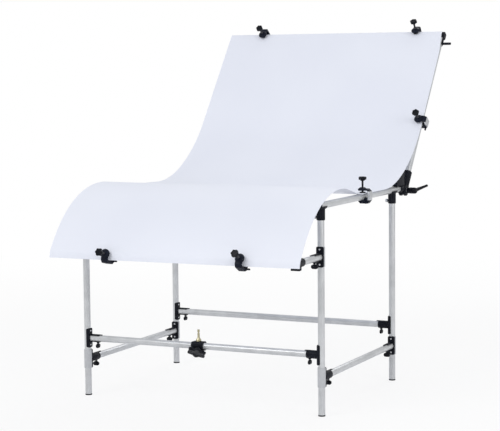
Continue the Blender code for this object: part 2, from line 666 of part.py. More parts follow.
def pivot_lever():
    """A right-hand clamping lever with its stud through the hinge at the origin."""
    washer_start = YOKE_HALF_WIDTH + GAP
    hub_start = washer_start + WASHER_THICKNESS
    hub_end = hub_start + LEVER_HUB_LENGTH
    nut_start = -YOKE_HALF_WIDTH - GAP
    spindle = placed(
        turned([
            (STUD_RADIUS, nut_start - NUT_THICKNESS / 2), (STUD_RADIUS, washer_start),
            (WASHER_RADIUS, washer_start), (WASHER_RADIUS, hub_start),
            (LEVER_HUB_RADIUS * 0.9, hub_start), (LEVER_HUB_RADIUS, hub_start + LEVER_HUB_LENGTH * 0.35),
            (LEVER_HUB_RADIUS, hub_end - LEVER_HUB_LENGTH * 0.15), (LEVER_HUB_RADIUS * 0.7, hub_end),
        ], sides=16),
        ALONG_X,
    )
    nut = placed(rod(NUT_RADIUS, nut_start - NUT_THICKNESS, nut_start, sides=6), ALONG_X)
    direction = Vector(LEVER_DIRECTION).normalized()
    root = Vector((hub_end - LEVER_HUB_LENGTH * LEVER_ARM_INWARD, 0, 0))
    arm = placed(
        turned([
            (LEVER_ARM_RADIUS, 0), (LEVER_TIP_RADIUS, LEVER_ARM_LENGTH - LEVER_TIP_RADIUS),
            (LEVER_TIP_RADIUS * 0.8, LEVER_ARM_LENGTH - LEVER_TIP_RADIUS * 0.4),
            (LEVER_TIP_RADIUS * 0.4, LEVER_ARM_LENGTH),
        ], sides=12),
        Matrix.Translation(root), direction.to_track_quat("Z", "Y").to_matrix().to_4x4(),
    )
    return combined(spindle, [nut, arm])


def add_pivots(plastic, back):
    base = pivot_base()
    yoke = pivot_yoke()
    lever = pivot_lever()
    for side, sign in SIDES.items():
        flip = MIRROR_X if sign < 0 else Matrix.Identity(4)
        x = sign * LEG_X
        node(f"pivot_base_{side}", base, plastic, at(x, HINGE_Y, HINGE_Z))
        node(f"pivot_yoke_{side}", yoke, plastic, at(x), back)
        node(f"pivot_lever_{side}", placed(lever, flip), plastic, at(x, HINGE_Y, HINGE_Z))


# Sheet

def strip(centre_line):
    """The sheet's full width over a line of (y, z) points that run from front to back."""
    rings = []
    last = len(centre_line) - 1
    for k, point in enumerate(centre_line):
        before = centre_line[max(k - 1, 0)]
        after = centre_line[min(k + 1, last)]
        into = (point - before).normalized() if k else (after - point).normalized()
        out = (after - point).normalized() if k < last else into
        normal = Vector((-(into + out).y, (into + out).x)).normalized()
        half = SHEET_THICKNESS / 2 / cos(acos(min(1, into.dot(out))) / 2)
        top = point + normal * half
        low = point - normal * half
        wide = SHEET_HALF_WIDTH
        rings.append([(-wide, *low), (wide, *low), (wide, *top), (-wide, *top)])
    return mesh_from("strip", rings, False)


def add_sheet(finish, back):
    node("sheet_seat", strip(seat_line()), finish)
    node("sheet_bend", strip(bend_line()), finish)
    over_tube = round_tube(Vector((0, BACK_LENGTH)), 0, SHEET_WRAP)
    past_tube = Vector((sin(SHEET_WRAP), cos(SHEET_WRAP))) * SHEET_EDGE_PAST_TOP
    in_back = [Vector((-SHEET_OFFSET, SHEET_MEETS_BACK)), *over_tube, over_tube[-1] + past_tube]
    node("sheet_back", strip(in_back), finish, parent=back)


# Sheet clamps, in their own axes: the tube along X, the spine at +Y, the screw along +Z

def clamp_jaw(tail_side):
    spine_inner = SHEET_EDGE_PAST_SEAT + CLAMP_EDGE_ROOM
    spine_outer = spine_inner + CLAMP_SPINE
    bottom = -TUBE_RADIUS - CLAMP_JAW_DEPTH
    arm_top = CLAMP_OPENING + CLAMP_ARM
    arc = []
    for k in range(JAW_ARC_STEPS + 1):
        angle = radians(JAW_ARC_START + JAW_ARC * k / JAW_ARC_STEPS)
        arc.append((BORE_RADIUS * cos(angle), BORE_RADIUS * sin(angle)))
    outline = arc + [
        (spine_inner, arc[-1][1]), (spine_inner, CLAMP_OPENING), (0, CLAMP_OPENING),
        (0, arm_top), (spine_inner, arm_top), (spine_outer, arm_top - CLAMP_SHOULDER),
        (spine_outer, bottom + CLAMP_HEEL), (spine_inner, bottom),
        (-CLAMP_TOE, bottom), (-CLAMP_LIP, bottom + CLAMP_SHOULDER), (-CLAMP_LIP, arc[0][1] - GAP * 4),
    ]
    jaw = placed(prism(outline, -CLAMP_WIDTH / 2, CLAMP_WIDTH / 2), OUTLINE_YZ)
    head = turned([
        (CLAMP_HEAD_RADIUS - CHAMFER, CLAMP_OPENING - GAP), (CLAMP_HEAD_RADIUS, CLAMP_OPENING + CHAMFER),
        (CLAMP_HEAD_RADIUS, CLAMP_OPENING + CLAMP_ARM / 2), (CLAMP_HEAD_RADIUS * 0.8, arm_top + CHAMFER),
        (CLAMP_HEAD_RADIUS * 0.45, CLAMP_OPENING + CLAMP_CROWN),
    ])
    tail = block(
        sorted((tail_side * CLAMP_WIDTH / 4, tail_side * (CLAMP_WIDTH / 2 + CLAMP_TAIL_LENGTH))),
        (spine_inner - CLAMP_TOE, spine_inner - GAP), (bottom + GAP, bottom + CLAMP_TAIL_HEIGHT),
    )
    hole = rod(SCREW_RADIUS + GAP, TUBE_RADIUS, CLAMP_OPENING + CLAMP_CROWN * 2, sides=12)
    return combined(jaw, [head, tail], [hole])


def clamp_screw():
    pad_low = SHEET_FACE + GAP
    pad_top = pad_low + PAD_THICKNESS
    knob_low = CLAMP_OPENING + CLAMP_CROWN + SCREW_SHOWING
    spindle = turned([
        (PAD_RADIUS, pad_low), (PAD_RADIUS, pad_top - PAD_CROWN), (PAD_RADIUS * 0.7, pad_top),
        (SCREW_RADIUS, pad_top), (SCREW_RADIUS, knob_low + SCREW_IN_KNOB),
    ], sides=12)
    knob = lobed(KNOB_RADIUS, KNOB_LOBES, KNOB_LOBE_DEPTH, knob_low, knob_low + KNOB_THICKNESS, KNOB_CHAMFER)
    return combined(spindle, [knob])


def add_clamps(jaw_finish, screw_finish, back):
    jaws = {side: clamp_jaw(side) for side in (-1, 1)}
    screw = clamp_screw()
    spine_right = Matrix(((0, 1, 0, 0), (-1, 0, 0, 0), (0, 0, 1, 0), (0, 0, 0, 1)))
    spine_down = ALONG_FRONT @ Matrix.Rotation(radians(180), 4, "Z")
    raised = Matrix.Rotation(-FRONT_RIGHT_CLAMP_RAISED, 4, "X")
    front_left, front_right = [share * LEG_X for share in FRONT_CLAMPS]
    top_left, top_right = [share * LEG_X for share in TOP_CLAMPS]
    rail_y = FRONT_LEG_Y + RAIL_CLAMP_BEHIND_LEGS
    places = {
        "front_left": (at(front_left, FRONT_TUBE_Y, ARM_HEIGHT) @ HANGING @ spine_down, -1, None),
        "front_right": (at(front_right, FRONT_TUBE_Y, ARM_HEIGHT) @ HANGING @ raised @ spine_down, -1, None),
        "rail_right": (at(LEG_X, rail_y, RAIL_HEIGHT) @ spine_right, 1, None),
        "post_right": (at(LEG_X, 0, POST_CLAMP_HEIGHT) @ ALONG_FRONT @ spine_right, 1, back),
        "top_left": (at(top_left, 0, BACK_LENGTH) @ ALONG_FRONT, 1, back),
        "top_right": (at(top_right, 0, BACK_LENGTH) @ WRAPPED @ ALONG_FRONT, 1, back),
    }
    for where, (place, tail_side, parent) in places.items():
        node(f"clamp_jaw_{where}", jaws[tail_side], jaw_finish, place, parent)
        node(f"clamp_screw_{where}", screw, screw_finish, place, parent)


# Light holder

def add_light_holder(plastic, brass):
    downward = Matrix.Rotation(pi - HOLDER_KNOB_TILT, 4, "X")
    wide = HOLDER_HALF_WIDTH
    outline = [
        (-wide + HOLDER_LOW_CORNER, -HOLDER_BOTTOM), (wide - HOLDER_CORNER, -HOLDER_BOTTOM),
        (wide, -HOLDER_BOTTOM + HOLDER_CORNER), (wide, HOLDER_TOP - HOLDER_CORNER),
        (wide - HOLDER_CORNER, HOLDER_TOP), (-wide + HOLDER_CORNER, HOLDER_TOP),
        (-wide, HOLDER_TOP - HOLDER_CORNER), (-wide, -HOLDER_BOTTOM + HOLDER_LOW_CORNER),
    ]
    casting = placed(prism(outline, -HOLDER_HALF_LENGTH, HOLDER_HALF_LENGTH), OUTLINE_YZ)
    tab = block(
        (HOLDER_HALF_LENGTH - CHAMFER, HOLDER_HALF_LENGTH + HOLDER_TAB_LENGTH),
        (-HOLDER_TAB_HALF_WIDTH, HOLDER_TAB_HALF_WIDTH), HOLDER_TAB_Z,
    )
    boss = placed(rod(HOLDER_BOSS_RADIUS, TUBE_RADIUS, HOLDER_BOSS_END, sides=16), downward)
    bar_bore = placed(rod(BORE_RADIUS, -FAR, FAR), ALONG_X)
    pad_low = BORE_RADIUS
    pad_top = pad_low + HOLDER_PAD_THICKNESS
    pocket_top = pad_top + HOLDER_PAD_TRAVEL + GAP
    pocket = placed(rod(HOLDER_PAD_RADIUS + GAP, 0, pocket_top, sides=16), downward)
    screw_hole = placed(rod(SCREW_RADIUS + GAP, 0, HOLDER_BOSS_END * 2, sides=12), downward)
    body = combined(casting, [boss, tab], [bar_bore, pocket, screw_hole])
    knob_low = HOLDER_BOSS_END + HOLDER_KNOB_ROOM
    star = lobed(
        HOLDER_KNOB_RADIUS, HOLDER_KNOB_LOBES, HOLDER_KNOB_LOBE_DEPTH,
        knob_low, knob_low + HOLDER_KNOB_THICKNESS, HOLDER_KNOB_CHAMFER,
    )
    knob = combined(star, [rod(SCREW_RADIUS, pad_top + GAP, knob_low + SCREW_IN_KNOB, sides=12)])
    pad = rod(HOLDER_PAD_RADIUS, pad_low, pad_top, sides=16)
    spigot = turned([
        (SPIGOT_BASE_RADIUS, 0), (SPIGOT_BASE_RADIUS, SPIGOT_BASE_HEIGHT),
        (SPIGOT_PIN_RADIUS, SPIGOT_CONE_HEIGHT),
        (SPIGOT_PIN_RADIUS, SPIGOT_HEIGHT - SPIGOT_CHAMFER),
        (SPIGOT_PIN_RADIUS - SPIGOT_CHAMFER, SPIGOT_HEIGHT),
    ])
    place = at(HOLDER_X, FRONT_LEG_Y, CROSS_BAR_HEIGHT)
    node("light_holder_body", body, plastic, place)
    node("light_holder_pad", pad, plastic, place @ downward)
    node("light_holder_knob", knob, plastic, place @ downward)
    node("light_holder_spigot", spigot, brass, place @ at(0, 0, HOLDER_TOP + GAP))


def build():
    clear_scene()
    aluminium = material("Aluminium tube", (0.72, 0.73, 0.74), 0.32, 1.0)
    plastic = material("Black plastic", (0.018, 0.018, 0.02), 0.45)
    screw_plastic = material("Black knob plastic", (0.022, 0.022, 0.024), 0.38)
    sheet = material("White sheet", (0.86, 0.87, 0.88), 0.5)
    brass = material("Brass", (0.76, 0.57, 0.25), 0.3, 1.0)
    back = bpy.data.objects.new("backrest_hinge", None)
    bpy.context.scene.collection.objects.link(back)
    back.matrix_world = Matrix.Translation(HINGE) @ LEANING
    add_frame_tubes(aluminium)
    add_back_tubes(aluminium, back)
    add_tees(plastic)
    add_flanges(plastic)
    add_elbows(plastic, back)
    add_pivots(plastic, back)
    add_sheet(sheet, back)
    add_clamps(plastic, screw_plastic, back)
    add_light_holder(plastic, brass)


build()
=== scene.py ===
# %% [markdown]
# A product shooting table stands on a pale floor in a studio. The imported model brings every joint
# and every place in metres, so this script only has to give the pieces their looks.

import json
from math import acos, asin, cos, pi, radians, sin, sqrt, tan

import bmesh
import bpy
from mathutils import Matrix, Vector

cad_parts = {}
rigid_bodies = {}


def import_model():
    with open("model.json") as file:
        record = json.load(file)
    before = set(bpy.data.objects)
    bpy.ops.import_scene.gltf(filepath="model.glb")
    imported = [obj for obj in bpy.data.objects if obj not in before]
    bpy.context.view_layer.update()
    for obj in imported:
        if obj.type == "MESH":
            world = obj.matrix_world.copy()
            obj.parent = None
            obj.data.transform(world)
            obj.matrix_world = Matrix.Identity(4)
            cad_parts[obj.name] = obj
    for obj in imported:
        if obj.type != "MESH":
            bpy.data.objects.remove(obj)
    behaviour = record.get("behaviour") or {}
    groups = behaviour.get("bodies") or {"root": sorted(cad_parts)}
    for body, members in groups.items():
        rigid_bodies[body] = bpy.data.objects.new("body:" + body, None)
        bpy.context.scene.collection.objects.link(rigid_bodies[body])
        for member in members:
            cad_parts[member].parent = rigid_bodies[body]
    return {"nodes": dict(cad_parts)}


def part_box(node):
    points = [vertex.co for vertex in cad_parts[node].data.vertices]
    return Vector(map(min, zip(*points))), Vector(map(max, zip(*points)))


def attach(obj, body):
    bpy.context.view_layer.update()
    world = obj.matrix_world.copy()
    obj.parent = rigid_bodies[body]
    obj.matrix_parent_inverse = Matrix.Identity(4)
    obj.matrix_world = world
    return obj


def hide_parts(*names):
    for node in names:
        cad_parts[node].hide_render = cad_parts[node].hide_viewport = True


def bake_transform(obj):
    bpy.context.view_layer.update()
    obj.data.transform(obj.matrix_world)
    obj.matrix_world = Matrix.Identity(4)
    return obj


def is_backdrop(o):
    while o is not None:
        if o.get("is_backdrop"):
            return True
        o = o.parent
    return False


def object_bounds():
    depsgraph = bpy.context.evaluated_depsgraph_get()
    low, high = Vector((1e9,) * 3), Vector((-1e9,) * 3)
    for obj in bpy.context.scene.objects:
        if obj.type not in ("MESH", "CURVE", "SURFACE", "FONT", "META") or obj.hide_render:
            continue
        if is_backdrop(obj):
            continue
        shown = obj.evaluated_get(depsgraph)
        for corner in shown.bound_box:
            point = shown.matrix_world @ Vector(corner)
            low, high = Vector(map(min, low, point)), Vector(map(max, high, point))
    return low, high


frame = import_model()
nodes = frame["nodes"]
cad_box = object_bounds()
scene = bpy.context.scene
print(len(nodes), "CAD nodes loaded")

# %% [markdown]
# The camera comes first, because every other choice is judged through it. Its place and its
# turns were solved from points of the table whose sizes are known. A long lens far away keeps
# the upright tubes nearly parallel, as in a product photograph.

# %% Camera
CAMERA_AT = Vector((2.7622, -5.8995, 1.2867))
CAMERA_YAW = radians(25.47)
CAMERA_PITCH = radians(5.45)
CAMERA_ROLL = radians(-0.53)
LENS = 117.57
SENSOR_WIDTH = 36
CAMERA_SEES_TO = 60


def add_camera():
    camera = bpy.data.objects.new("camera", bpy.data.cameras.new("camera"))
    camera.data.lens = LENS
    camera.data.sensor_width = SENSOR_WIDTH
    camera.data.clip_end = CAMERA_SEES_TO
    turn = Matrix.Rotation(CAMERA_YAW, 4, "Z") @ Matrix.Rotation(pi / 2 - CAMERA_PITCH, 4, "X")
    turn = turn @ Matrix.Rotation(CAMERA_ROLL, 4, "Z")
    camera.matrix_world = Matrix.Translation(CAMERA_AT) @ turn
    scene.collection.objects.link(camera)
    scene.camera = camera
    scene.view_settings.view_transform = "Standard"


add_camera()
print("camera at", [round(value, 3) for value in CAMERA_AT])

# %% [markdown]
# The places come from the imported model. The middle of a tube's box lies on its axis, so the boxes
# give the legs, rails, bars and arms without a single typed coordinate. The back has its own
# axes, which start at the hinge and lean with the posts, so its pieces are built upright.

# %% Places from the frame
def middle(name):
    low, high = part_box(name)
    return (Vector(low) + Vector(high)) / 2


def size(name):
    low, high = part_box(name)
    return Vector(high) - Vector(low)


SIDES = {"left": -1, "right": 1}
GAP = 0.0003
FINE_EDGE = 0.0005
SMALL_EDGE = 0.0006
NUT_EDGE = 0.0007
EDGE = 0.0008
SOCKET_EDGE = 0.001
PLATE_EDGE = 0.0012
CASTING_EDGE = 0.0014
HUB_EDGE = 0.0015
HEAD_EDGE = 0.0016
TUBE_RADIUS = size("front_cross_tube").z / 2
LEG_X = middle("leg_front_right").x
FRONT_LEG_Y = middle("leg_front_right").y
REAR_LEG_Y = middle("leg_rear_right").y
RAIL_Z = middle("top_rail_right").z
ARM_Z = middle("front_arm_right").z
CROSS_BAR_Z = middle("front_cross_bar").z
SIDE_BAR_Z = middle("side_bar_right").z
FRONT_TUBE_Y = middle("front_cross_tube").y
HINGE_BEHIND_LEGS = 0.1305
HINGE_DROP = 0.010
HINGE = Vector((0, REAR_LEG_Y + HINGE_BEHIND_LEGS, RAIL_Z - HINGE_DROP))
BACK_REACH = middle("back_cross_tube") - HINGE
BACK_LENGTH = BACK_REACH.yz.length
BACK_LEAN = radians(90) - acos(BACK_REACH.y / BACK_LENGTH)
BACK = Matrix.Translation(HINGE) @ Matrix.Rotation(-BACK_LEAN, 4, "X")
ALONG_X = Matrix.Rotation(radians(90), 4, "Y")
ALONG_Y = Matrix.Rotation(radians(-90), 4, "X")
ALONG_FRONT = Matrix.Rotation(radians(90), 4, "X")
OUTLINE_YZ = Matrix(((0, 0, 1, 0), (1, 0, 0, 0), (0, 1, 0, 0), (0, 0, 0, 1)))
HALF_TURN = Matrix.Rotation(pi, 4, "Z")
MIRROR_X = Matrix.Scale(-1, 4, Vector((1, 0, 0)))


def at(x=0.0, y=0.0, z=0.0):
    return Matrix.Translation((x, y, z))


print("legs at x", round(LEG_X, 3), "back leans", round(BACK_LEAN * 180 / pi, 2), "degrees")

# %% [markdown]
# A material is a chain of small sums over noise. Wrapping a socket in a class that knows plus,
# minus and times lets each finish read like a formula. One more method makes any other node, and
# links or sets its inputs by name.

# %% Material formulas
class Flow:
    """A number, colour or vector on its way through a material."""

    def __init__(self, tree, socket):
        self.tree = tree
        self.socket = socket

    def node(self, kind, inputs, output=0, **settings):
        made = self.tree.nodes.new("ShaderNode" + kind)
        for name, setting in settings.items():
            setattr(made, name, setting)
        for slot, value in inputs.items():
            if isinstance(value, Flow):
                self.tree.links.new(value.socket, made.inputs[slot])
            else:
                made.inputs[slot].default_value = value
        return Flow(self.tree, made.outputs[output])

    def math(self, operation, first, second):
        return self.node("Math", {0: first, 1: second}, operation=operation)

    def __add__(self, other):
        return self.math("ADD", self, other)

    def __sub__(self, other):
        return self.math("SUBTRACT", self, other)

    def __mul__(self, other):
        return self.math("MULTIPLY", self, other)

    __radd__ = __add__
    __rmul__ = __mul__

    def stretched(self, x, y, z):
        return self.node("VectorMath", {0: self, 1: (x, y, z)}, operation="MULTIPLY")

    def noise(self, grain, detail=3.0):
        """Noise whose grains are that many metres across, from 0 to 1."""
        return self.node("TexNoise", {"Vector": self, "Scale": 1 / grain, "Detail": detail})

    def ramp(self, low, high):
        """0 below low, 1 above high and smooth between."""
        span = {"Value": self, "From Min": low, "From Max": high}
        return self.node("MapRange", span, interpolation_type="SMOOTHSTEP")

    def between(self, dark, light):
        """A colour between two, by this share."""
        colours = {0: self, 6: (*dark, 1), 7: (*light, 1)}
        return self.node("Mix", colours, output=2, data_type="RGBA")


def finish(name, metallic=0.0, fixed=()):
    """A new material with its fixed values set: the material, its shader and its object coordinates."""
    made = bpy.data.materials.new(name)
    made.use_nodes = True
    tree = made.node_tree
    shader = tree.nodes["Principled BSDF"]
    shader.inputs["Metallic"].default_value = metallic
    for slot, value in fixed:
        shader.inputs[slot].default_value = value
    where = Flow(tree, tree.nodes.new("ShaderNodeTexCoord").outputs["Object"])
    return made, shader, where


def drive(shader, color, roughness, height=None, depth=0.0):
    """Links a finish's colour, roughness and bump, the bump's depth in metres."""
    tree = color.tree
    tree.links.new(color.socket, shader.inputs["Base Color"])
    tree.links.new(roughness.socket, shader.inputs["Roughness"])
    if height is not None:
        bump = height.node("Bump", {"Height": height, "Distance": depth, "Strength": 1.0})
        tree.links.new(bump.socket, shader.inputs["Normal"])

# %% [markdown]
# Drawn aluminium shows fine streaks along the tube and faint cloudy patches from handling. Each
# tube is built along its own Z, so a noise that is stretched along Z gives the streaks.

# %% Metals
def tube_aluminium():
    made, shader, where = finish("Tube aluminium", metallic=0.45)
    streaks = where.stretched(1, 1, 0.02).noise(0.0009)
    clouds = where.noise(0.06)
    shade = (streaks * 0.35 + clouds * 0.65).ramp(0.3, 0.7)
    color = shade.between((0.56, 0.57, 0.58), (0.70, 0.71, 0.72))
    drive(shader, color, 0.26 + streaks * 0.16, streaks, 0.00002)
    return made


def screw_steel():
    made, shader, where = finish("Screw steel", metallic=1.0)
    scratches = where.stretched(1, 0.1, 1).noise(0.0006)
    color = scratches.between((0.6, 0.61, 0.63), (0.78, 0.79, 0.8))
    drive(shader, color, 0.2 + scratches * 0.2, scratches, 0.00001)
    return made


def dark_steel():
    made, shader, where = finish("Blackened steel", metallic=0.8)
    oxide = where.noise(0.0015)
    color = oxide.between((0.03, 0.03, 0.035), (0.08, 0.08, 0.09))
    drive(shader, color, 0.35 + oxide * 0.2, oxide, 0.00001)
    return made


def spigot_brass():
    made, shader, where = finish("Spigot brass", metallic=1.0)
    rings = where.stretched(0.05, 0.05, 1).noise(0.0004)
    tarnish = where.noise(0.008).ramp(0.4, 0.75)
    color = tarnish.between((0.60, 0.55, 0.38), (0.42, 0.38, 0.22))
    drive(shader, color, 0.22 + rings * 0.18, rings, 0.00001)
    return made


aluminium = tube_aluminium()
steel = screw_steel()
spindle_steel = dark_steel()
brass = spigot_brass()
print("metals:", aluminium.name, steel.name, spindle_steel.name, brass.name)

# %% [markdown]
# Moulded plastic has a fine leathery grain that breaks up the highlights, and handled faces are
# rubbed a little smoother. One function makes each plastic from two shades, a grain and a gloss.

# %% Plastics and the sheet
def moulded(name, dark, light, gloss, grain=0.0007, depth=0.00004):
    made, shader, where = finish(name, fixed=[("Specular IOR Level", 0.16)])
    pits = where.noise(grain, detail=2.0)
    rubbed = where.noise(0.012).ramp(0.45, 0.75)
    color = (rubbed * 0.6 + pits * 0.4).between(dark, light)
    drive(shader, color, gloss + pits * 0.12 - rubbed * 0.08, pits, depth)
    return made


def white_plastic_sheet():
    made, shader, where = finish("White plastic sheet", fixed=[("Specular IOR Level", 0.35)])
    cast = where.noise(0.35, detail=1.0).ramp(0.25, 0.75)
    satin = where.noise(0.0011, detail=2.0)
    color = cast.between((0.80, 0.825, 0.915), (0.825, 0.85, 0.935))
    drive(shader, color, 0.42 + satin * 0.12, satin, 0.00002)
    return made


black = moulded("Connector plastic", (0.003, 0.004, 0.008), (0.008, 0.010, 0.018), 0.45)
knob_black = moulded("Knob plastic", (0.003, 0.004, 0.007), (0.007, 0.008, 0.014), 0.34, grain=0.0012)
clamp_black = moulded("Clamp plastic", (0.003, 0.005, 0.013), (0.009, 0.013, 0.028), 0.4)
grey = moulded("Grey shell plastic", (0.5, 0.51, 0.53), (0.6, 0.61, 0.63), 0.4)
rubber = moulded("Pad rubber", (0.02, 0.02, 0.02), (0.035, 0.035, 0.035), 0.7, grain=0.0005, depth=0.00006)
sheet_white = white_plastic_sheet()
print("plastics:", black.name, knob_black.name, clamp_black.name, grey.name, rubber.name, sheet_white.name)

# %% [markdown]
# Nearly every piece is an outline drawn out along a line or a profile turned round one. Corners
# and edges are rounded with small arcs, because a real edge catches a thin line of light. The
# shapes round themselves as they are drawn, so no later step has to find and bevel edges.

# %% Rounded outlines
def arc(radius, start, end, steps, middle_at=(0, 0)):
    """Points round a centre from one angle to another, in degrees."""
    points = []
    for k in range(steps + 1):
        angle = radians(start + (end - start) * k / steps)
        points.append(Vector((middle_at[0] + radius * cos(angle), middle_at[1] + radius * sin(angle))))
    return points


def rounded(points, radius, steps=3, closed=True):
    """The outline with an arc in place of each corner, as large as its sides allow."""
    points = [Vector(point) for point in points]
    made = []
    for k, corner in enumerate(points):
        if not closed and k in (0, len(points) - 1):
            made.append(corner)
            continue
        back = points[k - 1] - corner
        on = points[(k + 1) % len(points)] - corner
        opening = back.angle(on)
        if opening > radians(170) or radius == 0:
            made.append(corner)
            continue
        reach = min(radius / tan(opening / 2), back.length * 0.45, on.length * 0.45)
        centre = corner + (back.normalized() + on.normalized()).normalized() * reach / cos(opening / 2)
        first = corner + back.normalized() * reach - centre
        last = corner + on.normalized() * reach - centre
        swing = pi - opening
        for step in range(steps + 1):
            share = step / steps
            made.append(centre + (first * sin((1 - share) * swing) + last * sin(share * swing)) / sin(swing))
    return made


def rectangle(half_width, half_height):
    corners = ((-1, -1), (1, -1), (1, 1), (-1, 1))
    return [(half_width * x, half_height * y) for x, y in corners]


def mirrored(right_side):
    """An outline whose left side mirrors its right side, which is given from one end to the other."""
    return [(-x, y) for x, y in right_side] + right_side[::-1]


def inset(outline, amount):
    """The outline moved inwards by that amount."""
    count = len(outline)
    area = sum(outline[k - 1].x * outline[k].y - outline[k].x * outline[k - 1].y for k in range(count))
    moved = []
    for k, point in enumerate(outline):
        before = (point - outline[k - 1]).normalized()
        after = (outline[(k + 1) % count] - point).normalized()
        side = Vector((-(before + after).y, (before + after).x)).normalized()
        stretch = max(0.5, sqrt(max(0, (1 + before.dot(after)) / 2)))
        moved.append(point + side * (amount if area > 0 else -amount) / stretch)
    return moved


def open_ring(outer, inner, half_window, steps=28):
    """The section of a round wall with a level slot of that half height cut through its +X side."""
    outside = asin(half_window / outer) * 180 / pi
    inside = asin(min(1, half_window / inner)) * 180 / pi
    return arc(outer, outside, 360 - outside, steps) + arc(inner, 360 - inside, inside, steps)


print("a rounded square has", len(rounded(rectangle(1, 1), 0.2)), "points")

# %% [markdown]
# Rings of points with the same count are skinned into a closed body. Drawing out, turning and
# lobed knobs all end here, and only differ in how they make their rings. Booleans then join
# and cut these bodies where a moulding is one piece of plastic.

# %% Bodies
def skinned(rings, closed_loop=False):
    shape = bmesh.new()
    made = [[shape.verts.new(point) for point in ring] for ring in rings]
    pairs = list(zip(made, made[1:]))
    if closed_loop:
        pairs.append((made[-1], made[0]))
    for low, high in pairs:
        for here in range(len(low)):
            after = (here + 1) % len(low)
            shape.faces.new((low[here], low[after], high[after], high[here]))
    if not closed_loop:
        shape.faces.new(made[0])
        shape.faces.new(made[-1])
    bmesh.ops.recalc_face_normals(shape, faces=shape.faces)
    mesh = bpy.data.meshes.new("skinned")
    shape.to_mesh(mesh)
    shape.free()
    return mesh


def edge_steps(edge, steps=3):
    """The (inset, distance from the end) pairs of a rounded end edge, from the end inwards."""
    if not edge:
        return [(0, 0)]
    turns = [pi / 2 * k / steps for k in range(steps + 1)]
    return [(edge * (1 - sin(turn)), edge * (1 - cos(turn))) for turn in turns]


def drawn(outline, low, high, edge=EDGE):
    """An outline in XY drawn out along Z, with rounded end edges."""
    outline = [Vector(point) for point in outline]
    steps = edge_steps(edge)
    rings = [[(*point, low + along) for point in inset(outline, cut)] for cut, along in steps]
    rings += [[(*point, high - along) for point in inset(outline, cut)] for cut, along in steps[::-1]]
    return skinned(rings)


def turned(profile, radius=0.0, sides=48, closed_loop=False):
    """(radius, height) pairs turned round Z, their corners rounded."""
    angles = [2 * pi * k / sides for k in range(sides)]
    rings = []
    for reach, height in rounded(profile, radius, closed=closed_loop):
        rings.append([(reach * cos(angle), reach * sin(angle), height) for angle in angles])
    return skinned(rings, closed_loop)


def rod(radius, low, high, edge=0.0, sides=48):
    if not edge:
        return turned([(radius, low), (radius, high)], sides=sides)
    flat = radius * 0.5
    return turned([(flat, low), (radius, low), (radius, high), (flat, high)], edge, sides)


def box(x, y, z, edge=SMALL_EDGE):
    outline = [(x[0], y[0]), (x[1], y[0]), (x[1], y[1]), (x[0], y[1])]
    return drawn(rounded(outline, edge * 2), z[0], z[1], edge)


def lobed(radius, lobes, depth, low, high, edge, sharpness=1.0):
    """A grip knob round Z with rounded lobes and a shallow dish in its high face."""
    sides = 16 * lobes
    steps = edge_steps(edge)
    profile = [(cut, low + along) for cut, along in steps]
    profile += [(cut, high - along) for cut, along in steps[::-1]]
    dish = (high - low) * 0.12
    profile += [(radius * 0.42, high), (radius * 0.5, high - dish)]
    rings = []
    for cut, height in profile:
        ring = []
        for k in range(sides):
            angle = 2 * pi * k / sides
            wave = ((1 - cos(lobes * angle)) / 2) ** sharpness
            reach = (radius - cut) * (1 - depth / radius * wave * (1 - cut / radius))
            ring.append((reach * cos(angle), reach * sin(angle), height))
        rings.append(ring)
    return skinned(rings)


def placed(mesh, *turns):
    copy = mesh.copy()
    matrix = Matrix.Identity(4)
    for turn in turns:
        matrix = matrix @ turn
    copy.transform(matrix)
    if matrix.determinant() < 0:
        copy.flip_normals()
    return copy


def combined(base, joins=(), cuts=()):
    """One new mesh: the base with the joins added, then the cuts taken away."""
    linked = scene.collection.objects
    holder = bpy.data.objects.new("combining", base)
    linked.link(holder)
    helpers = []
    for operation, meshes in (("UNION", joins), ("DIFFERENCE", cuts)):
        for mesh in meshes:
            helper = bpy.data.objects.new("helper", mesh)
            linked.link(helper)
            helpers.append(helper)
            modifier = holder.modifiers.new(operation, "BOOLEAN")
            modifier.operation = operation
            modifier.object = helper
    graph = bpy.context.evaluated_depsgraph_get()
    result = bpy.data.meshes.new_from_object(holder.evaluated_get(graph))
    for used in [holder, *helpers]:
        bpy.data.objects.remove(used, do_unlink=True)
    return result


print("a small box has", len(box((-1, 1), (-1, 1), (-1, 1), 0.1).polygons), "faces")

# %% [markdown]
# A finished piece may be one moulding with metal screws and a grey shell set into it. All of them
# go into one object, each with its own material, and that object takes the place of its CAD
# node. Pieces keep their own axes, so their materials run along them.

# %% Pieces that take a node's place
def piece(node, parts, place, body, slot):
    """An object of (mesh, material) parts that stands for a CAD node and rides on its body."""
    shape = bmesh.new()
    own = bpy.data.meshes.new("shown_" + node)
    finishes = []
    for mesh, material in parts:
        if material not in finishes:
            finishes.append(material)
            own.materials.append(material)
        before = len(shape.faces)
        shape.from_mesh(mesh)
        shape.faces.ensure_lookup_table()
        for face in shape.faces[before:]:
            face.material_index = finishes.index(material)
    shape.to_mesh(own)
    shape.free()
    own.shade_smooth()
    own.set_sharp_from_angle(angle=radians(40))
    made = bpy.data.objects.new(own.name, own)
    scene.collection.objects.link(made)
    made.matrix_world = place
    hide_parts(node)
    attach(made, body)
    return made


def told(pieces):
    """Prints what a cell made."""
    for made in pieces:
        print(made.name, [round(side, 3) for side in made.dimensions])


# %% [markdown]
# Every tube is the same drawn stock, open at the ends that sit in a socket. Its profile is turned
# round Z, outside and bore together, so the wall can be seen where an end shows. The legs end in
# plugged feet, and the rails in a flat plug.

